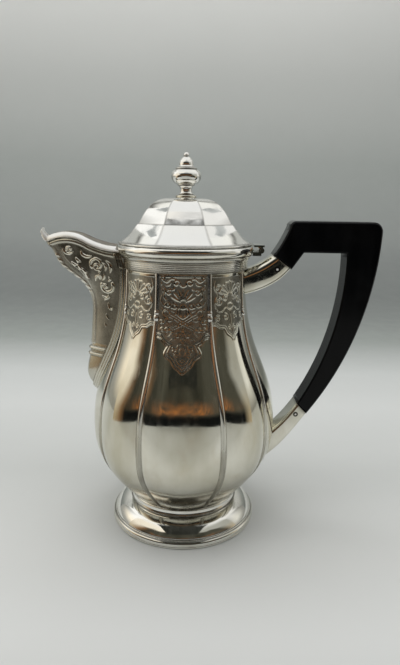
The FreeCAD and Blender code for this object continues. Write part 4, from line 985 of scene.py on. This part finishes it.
def drawn_in(line, amount):
    """Closed outline moved inwards; the outline runs counter-clockwise."""
    along = np.roll(line, -1, axis=0) - np.roll(line, 1, axis=0)
    along /= np.maximum(np.linalg.norm(along, axis=1, keepdims=True), 1e-9)
    return line + np.stack([-along[:, 1], along[:, 0]], axis=1) * amount


def rounded_corner(before, corner, after, radius, count):
    """Points of a fillet between two straight directions."""
    corner = np.array(corner)
    first, second = (np.array(spot) - corner for spot in (before, after))
    first, second = first / np.linalg.norm(first), second / np.linalg.norm(second)
    half = math.acos(float(np.clip(first @ second, -1, 1))) / 2
    reach = radius / math.tan(half)
    t = np.linspace(0, 1, count)[:, None]
    weights = (1 - t) ** 2, 2 * t * (1 - t) * math.sin(half), t ** 2
    spots = corner + first * reach, corner, corner + second * reach
    return sum(weight * spot for weight, spot in zip(weights, spots)) / sum(weights)


def away_from(line, corner, distance):
    return line[np.linalg.norm(line - np.array(corner), axis=1) > distance]


def grip_outline():
    """Side view of the grip, counter-clockwise from the lower corner of its upper end."""
    knee, bend, crook, shoulder = (68.8, 169.6), (93.7, 169.6), (113.4, 187.5), (61.3, 187.5)
    below_shoulder = (56.5, 178.2)
    back = away_from(bowed(LOWER_LOW, crook, 10.1, 90), crook, 6.0)
    slant = away_from(bowed(shoulder, UPPER_TOP, -0.8, 20), shoulder, 2.6)
    line = np.concatenate([
        bowed(UPPER_LOW, knee, 0, 8)[:-1], bowed(knee, bend, 0, 16)[:-1],
        bowed(bend, LOWER_TOP, -7.0, 70)[:-1], bowed(LOWER_TOP, LOWER_LOW, 0, 8)[:-1],
        back, rounded_corner(back[-1], crook, shoulder, 5.4, 12),
        rounded_corner(crook, shoulder, below_shoulder, 4.0, 10), slant[:-1],
        bowed(UPPER_TOP, UPPER_LOW, 0, 8)[:-1]])
    kept = [line[0]]
    for point in line[1:]:
        if np.linalg.norm(point - kept[-1]) > 0.05:
            kept.append(point)
    return np.array(kept)


def make_grip():
    line = grip_outline()
    edge = ((0.0, GRIP_CHAMFER), (0.12, GRIP_CHAMFER * 0.8), (GRIP_CHAMFER * 0.85, 0.12),
            (GRIP_CHAMFER * 1.1, 0.0))
    levels = [(depth - GRIP_HALF, inset) for depth, inset in edge]
    levels += [(GRIP_HALF - depth, inset) for depth, inset in edge[::-1]]
    points = np.array([np.insert(drawn_in(line, inset), 1, y, axis=1) for y, inset in levels])
    rows, columns = points.shape[:2]
    faces = grid_faces(rows, columns, True)
    faces.append(list(range(columns)))
    faces.append(list(range((rows - 1) * columns, rows * columns))[::-1])
    build("grip_skin", points, faces, "pot", ["handle_grip"], {}, 28, wood)


def make_socket(name, low_points, high_points, rounding, replaced, material):
    """Tube with a rounded-rectangle section between a lower and an upper side-view curve."""
    rows, corner_steps = 44, 9
    low, high = through(low_points, rows), through(high_points, rows)
    middle, reach = (low + high) / 2, (high - low) / 2
    tall = np.linalg.norm(reach, axis=1, keepdims=True)
    corners = np.array([(1, 1, 0), (-1, 1, 90), (-1, -1, 180), (1, -1, 270)])
    side, up, start = corners.repeat(corner_steps, axis=0).T
    angle = np.radians(start + np.tile(np.linspace(0, 90, corner_steps), 4))
    across = side * (GRIP_HALF - rounding) + rounding * np.cos(angle)
    upward = up * (tall - rounding) + rounding * np.sin(angle)
    spots = middle[:, None] + (reach / tall)[:, None] * upward[..., None]
    points = np.insert(spots, 1, across, axis=2)
    columns = len(across)
    faces = grid_faces(rows, columns, True, 0, True)
    faces.append(list(range((rows - 1) * columns, rows * columns)))
    share = np.linspace(0, 1, rows)[:, None]
    patina = soft_line(share, 1.0, 0.03, 0.7) + 0.25 * smooth((0.35 - share) / 0.35)
    fields = {"patina": np.broadcast_to(patina, (rows, columns))}
    build(name, points, faces, "pot", replaced, fields, 40, material)


make_grip()
make_socket("upper_socket_skin", [(33.0, 143.6), (42.0, 146.2), (50.8, 150.2), (57.0, 154.5), UPPER_LOW],
            [(33.0, 158.0), (41.4, 161.7), (46.4, 164.5), UPPER_TOP], 4.5, ["upper_socket"], upper_silver)
make_socket("lower_socket_skin", [(49.0, 39.4), (59.0, 48.4), (68.2, 59.6), LOWER_LOW],
            [(49.0, 53.8), (56.4, 60.5), (63.4, 68.4), LOWER_TOP], 2.4, ["lower_socket"], lower_silver)


# Stage in metres and degrees: floor that sweeps up into a wall, and cards that only reflections see
CARD_LEVEL = 0.08
NEAR_REACH, NEAR_HIGH = 0.42, 9.5
ROOM_REACH, ROOM_SIDE, ROOM_HIGH = 1.30, 88.0, 70.0
ROOM_DARK, ROOM_LIGHT, ROOM_BLACK = (0.030, 0.030, 0.022), (0.085, 0.082, 0.063), (0.006, 0.007, 0.007)
STREAK, COPPER, LOW_DAYLIGHT = (0.48, 0.19, 0.06), (0.26, 0.15, 0.075), (0.52, 0.43, 0.29)
RIGHT_DAYLIGHT, LEFT_DAYLIGHT, WHITE = (0.43, 0.43, 0.39), (1.0, 0.92, 0.78), (1.0, 1.0, 1.0)
CARD_DIM, CARD_COOL = (0.30, 0.30, 0.28), (0.96, 0.96, 0.95)
VIEWER_DARK, VIEWER_FRINGE = (0.022, 0.023, 0.019), (0.80, 0.81, 0.82)
PANEL_DARK, PANEL_LIGHT = (0.34, 0.36, 0.36), (0.56, 0.58, 0.58)


def stage_mesh(name, points, faces, material):
    item = add_mesh(name, points, faces, material)
    return item


def make_backdrop():
    """Pale floor that sweeps up into a wall, its tones painted with light and shade: darker behind the pot,
    and the wall lighter towards its top.
    """
    material, paint, sockets = new_material("backdrop_paper")
    # The floor's ramp paints light and shade: lightest just in front of the pot, painted shade just behind
    # it, darker again further back; the wall's ramp is painted darker low down and lighter towards its top
    floor = paint.ramp(paint.spread(paint.axis("Y"), -1.0, 1.0), (0.0, (0.45, 0.455, 0.43)),
                       (0.40, (0.54, 0.545, 0.53)), (0.444, (0.70, 0.71, 0.705)), (0.475, (0.67, 0.68, 0.67)),
                       (0.526, (0.58, 0.595, 0.585)), (0.595, (0.66, 0.675, 0.67)),
                       (0.65, (0.60, 0.62, 0.615)), (0.73, (0.33, 0.355, 0.34)), (0.87, (0.21, 0.225, 0.22)))
    wall = paint.ramp(paint.spread(paint.axis("Z"), 0.05, 0.75), (0.0, (0.26, 0.275, 0.27)),
                      (0.35, (0.43, 0.455, 0.44)), (0.9, (1.0, 1.0, 0.985)))
    colour = paint.mixed(paint.spread(paint.axis("Z"), 0.02, 0.12), floor, wall)
    cloud = paint.spread(paint.noise(3.0, 3.0), 0.3, 0.7, 0, 0.08)
    paint.feed(sockets["Base Color"], paint.mixed(cloud, colour, (0.45, 0.47, 0.46)))
    paint.feed(sockets["Roughness"], paint.spread(paint.noise(40.0, 2.0), 0.3, 0.7, 0.65, 0.85))
    front, wide, bend, sweep, top = -2.6, 40.0, 0.6, 0.5, 0.88
    line = [(front, 0.0), (bend, 0.0)]
    line += [(bend + sweep * math.sin(angle), sweep - sweep * math.cos(angle))
             for angle in np.linspace(0.05, math.pi / 2, 24)]
    line.append((bend + sweep, top))
    points = [(x, y, z) for y, z in line for x in (-wide, wide)]
    faces = [[2 * i, 2 * i + 1, 2 * i + 3, 2 * i + 2] for i in range(len(line) - 1)]
    stage_mesh("backdrop", points, faces, material)


def new_glow(name):
    material = bpy.data.materials.new(name)
    paint = Paint(material)
    paint.nodes.remove(paint.nodes["Principled BSDF"])
    glow = paint.node("Emission")
    paint.feed(paint.nodes["Material Output"].inputs["Surface"], glow.outputs["Emission"])
    return material, paint, glow.inputs


def reflected_card(name, points, faces, material):
    card = stage_mesh(name, points, faces, material)
    card.visible_camera = card.visible_diffuse = card.visible_shadow = False
    return card


def curved_card(name, reach, upward, material):
    """Card bent round the front of the pot over a sloping lower edge, nearer at its two sides."""
    turns = np.linspace(-ROOM_SIDE, ROOM_SIDE, 65)
    edge = np.interp(np.abs(turns), [0, 14, 28, 42, 55, 68, ROOM_SIDE],
                     [-0.6, -0.9, -2.2, -4.4, -6.2, -8.0, -10.4])
    away = NEAR_REACH + (reach - NEAR_REACH) * smooth((50 - np.abs(turns)) / 22)
    angles = edge[:, None] + upward
    x, y = away * np.sin(np.radians(turns)), -away * np.cos(np.radians(turns))
    z = CARD_LEVEL + away[:, None] * np.tan(np.radians(angles))
    points = np.stack(np.broadcast_arrays(x[:, None], y[:, None], z), axis=-1).reshape(-1, 3)
    # Rolled by one, so that each quad starts at its lower corner on the left
    faces = np.roll(grid_faces(len(turns), len(upward), False, 0, True), 1, axis=1).tolist()
    card = reflected_card(name, points.tolist(), faces, material)
    carry(card, "aside", np.abs(turns).repeat(len(upward)))
    carry(card, "lift", np.tile(upward, len(turns)))


def make_room():
    """Dark warm room in front of the pot: a low near card that is black, and a tall one further away."""
    material, paint, sockets = new_glow("dark_room")
    aside, lift = paint.field("aside"), paint.field("lift")
    colour = paint.mixed(paint.spread(paint.noise(2.0, 4.0), 0.35, 0.7), ROOM_DARK, ROOM_LIGHT)
    # Black foot of the room, then a patchy orange-brown streak
    colour = paint.mixed(paint.spread(lift, 7.5, 11.0, 1, 0), colour, ROOM_BLACK)
    bands = paint.spread(paint.noise(2.6, 4.0, (1.0, 1.0, 7.0)), 0.40, 0.58, 0.15, 1)
    streak = paint.times(paint.spread(lift, 10.0, 11.5, 0, 0.9), paint.spread(lift, 13.5, 21.0, 1, 0), bands,
                         paint.spread(aside, 36.0, 52.0, 1, 0.08))
    colour = paint.mixed(streak, colour, STREAK)
    # Towards the sides and the top it clears to daylight, through copper at the left
    higher = paint.plus(paint.spread(lift, 12.0, 60.0, 0, 0.4), paint.spread(lift, 26.0, 38.0, 0, 0.3))
    outward = paint.plus(paint.spread(aside, 0.0, 100.0), higher)
    left = paint.spread(paint.axis("X"), -0.20, 0.10, 1, 0)
    copper = paint.times(paint.spread(outward, 0.62, 0.72), left, paint.spread(lift, 22.0, 30.0, 1, 0))
    colour = paint.mixed(copper, colour, COPPER)
    daylight = paint.mixed(paint.spread(lift, 5.0, 25.0), LOW_DAYLIGHT,
                           paint.mixed(left, RIGHT_DAYLIGHT, LEFT_DAYLIGHT))
    colour = paint.mixed(paint.spread(outward, 0.71, 0.84), colour, daylight)
    mottled = paint.spread(paint.noise(7.0, 5.0), 0.3, 0.7, 0.5, 1.0)
    upper = paint.times(paint.spread(lift, 40.0, 56.0), mottled)
    paint.feed(sockets["Color"], paint.mixed(upper, colour, WHITE))
    curved_card("near_card", NEAR_REACH, np.linspace(0, NEAR_HIGH, 12), material)
    upward = np.concatenate([np.linspace(0, 24, 25), np.linspace(24, ROOM_HIGH, 14)[1:]])
    curved_card("room_card", ROOM_REACH, upward, material)


def make_side_card(name, side, colour, strength, low, front):
    """Soft daylight at one side, brightest in its middle and along its top."""
    material, paint, sockets = new_glow(name)
    y, z = paint.axis("Y"), paint.axis("Z")
    shine = paint.times(paint.spread(y, front, front + 0.5), paint.spread(y, 0.15, 0.60, 1, 0),
                        paint.spread(z, low, low + 0.22))
    shine = paint.joined("MAXIMUM", shine, paint.spread(z, 0.6, 0.85, 0, 0.95))
    colour = paint.mixed(paint.spread(z, 0.28, 0.6), colour, CARD_COOL)
    paint.feed(sockets["Color"], paint.mixed(shine, CARD_DIM, colour))
    paint.feed(sockets["Strength"], strength)
    x, half, top = side * 0.95, 0.7, 1.5
    corners = [(x, -half, 0.0), (x, half, 0.0), (x, half, top), (x, -half, top)]
    reflected_card(name, corners, [[0, 1, 2, 3]], material)


def make_viewer_card():
    """Dark shape of the viewer leaning over the front of the pot."""
    material, paint, sockets = new_glow("viewer")
    fringe = paint.times(paint.spread(paint.axis("Y"), -0.15, -0.10),
                         paint.spread(paint.noise(60.0, 4.0), 0.38, 0.62, 0.1, 1.0))
    paint.feed(sockets["Color"], paint.mixed(fringe, VIEWER_DARK, VIEWER_FRINGE))
    corners = [(x, y, 0.30) for x, y in ((-0.21, -0.46), (0.21, -0.46), (0.18, -0.10), (-0.18, -0.10))]
    reflected_card("viewer_card", corners, [[0, 1, 2, 3]], material)


def make_ceiling_panel(name, side):
    """Grey panel high behind the pot that shows in the upper slanting facets of the lid."""
    material, paint, sockets = new_glow(name)
    shade = paint.spread(paint.noise(5.0, 3.0), 0.35, 0.65)
    paint.feed(sockets["Color"], paint.mixed(shade, PANEL_DARK, PANEL_LIGHT))
    centre, lid = np.array([side * 0.66, 0.34, 0.86]), np.array([0, 0, 0.19])
    along = np.array([-side * 0.664, 0.664, 0.342])
    across = np.cross(centre - lid, along)
    corners = [tuple(centre + along * forth + across * aside)
               for forth, aside in ((-0.10, 0), (0, 0.085), (0.12, 0), (0, -0.085))]
    reflected_card(name, corners, [[0, 1, 2, 3]], material)


def make_top_light():
    data = bpy.data.lights.new("top_light", "AREA")
    data.shape, data.size, data.size_y = "RECTANGLE", 1.2, 1.0
    data.energy, data.color = 8.2, (1.0, 0.99, 0.97)
    lamp = bpy.data.objects.new("top_light", data)
    bpy.context.scene.collection.objects.link(lamp)
    lamp.location = (-0.1, 0.05, 1.3)
    lamp.visible_camera = lamp.visible_glossy = False


def make_world():
    """Grey room with a dark line under a pale ceiling, dimmer as a light than in reflections."""
    world = bpy.data.worlds.new("studio")
    bpy.context.scene.world = world
    paint = Paint(world, "Generated")
    sockets = paint.nodes["Background"].inputs
    sky = paint.ramp(paint.axis("Z"), (0.0, (0.36, 0.37, 0.36)), (0.50, (0.50, 0.51, 0.49)),
                     (0.58, (0.52, 0.53, 0.50)), (0.61, (0.10, 0.10, 0.09)), (0.655, (1.0, 1.0, 0.96)),
                     (1.0, (0.92, 0.93, 0.94)))
    paint.feed(sockets["Color"], sky)
    reflected = paint.node("LightPath").outputs["Is Glossy Ray"]
    paint.feed(sockets["Strength"], paint.spread(reflected, 0, 1, 0.74, 1.0))


make_backdrop()
make_room()
make_side_card("left_card", -1, (1.0, 0.90, 0.74), 1.2, 0.10, -0.55)
make_side_card("right_card", 1, (0.98, 0.97, 0.90), 1.0, 0.02, -0.25)
make_viewer_card()
make_ceiling_panel("left_panel", -1)
make_ceiling_panel("right_panel", 1)
make_top_light()
make_world()

# Camera at the photograph's angle; the focal length is in pixels of the 665-pixel height
FOCAL_PIXELS, PICTURE_HEIGHT = 540, 665
CAMERA_PLACE, CAMERA_DOWN, CAMERA_ROLL = (0.0093, -0.322, 0.196), 13.35, 0.9
camera_data = bpy.data.cameras.new("camera")
camera_data.sensor_width = 36.0
camera_data.lens = camera_data.sensor_width * FOCAL_PIXELS / PICTURE_HEIGHT
camera_data.clip_start = 0.01
camera = bpy.data.objects.new("camera", camera_data)
bpy.context.scene.collection.objects.link(camera)
camera.matrix_world = (Matrix.Translation(CAMERA_PLACE)
                       @ Matrix.Rotation(math.radians(90 - CAMERA_DOWN), 4, "X")
                       @ Matrix.Rotation(math.radians(CAMERA_ROLL), 4, "Z"))
bpy.context.scene.camera = camera
bpy.context.scene.view_settings.view_transform = "Standard"
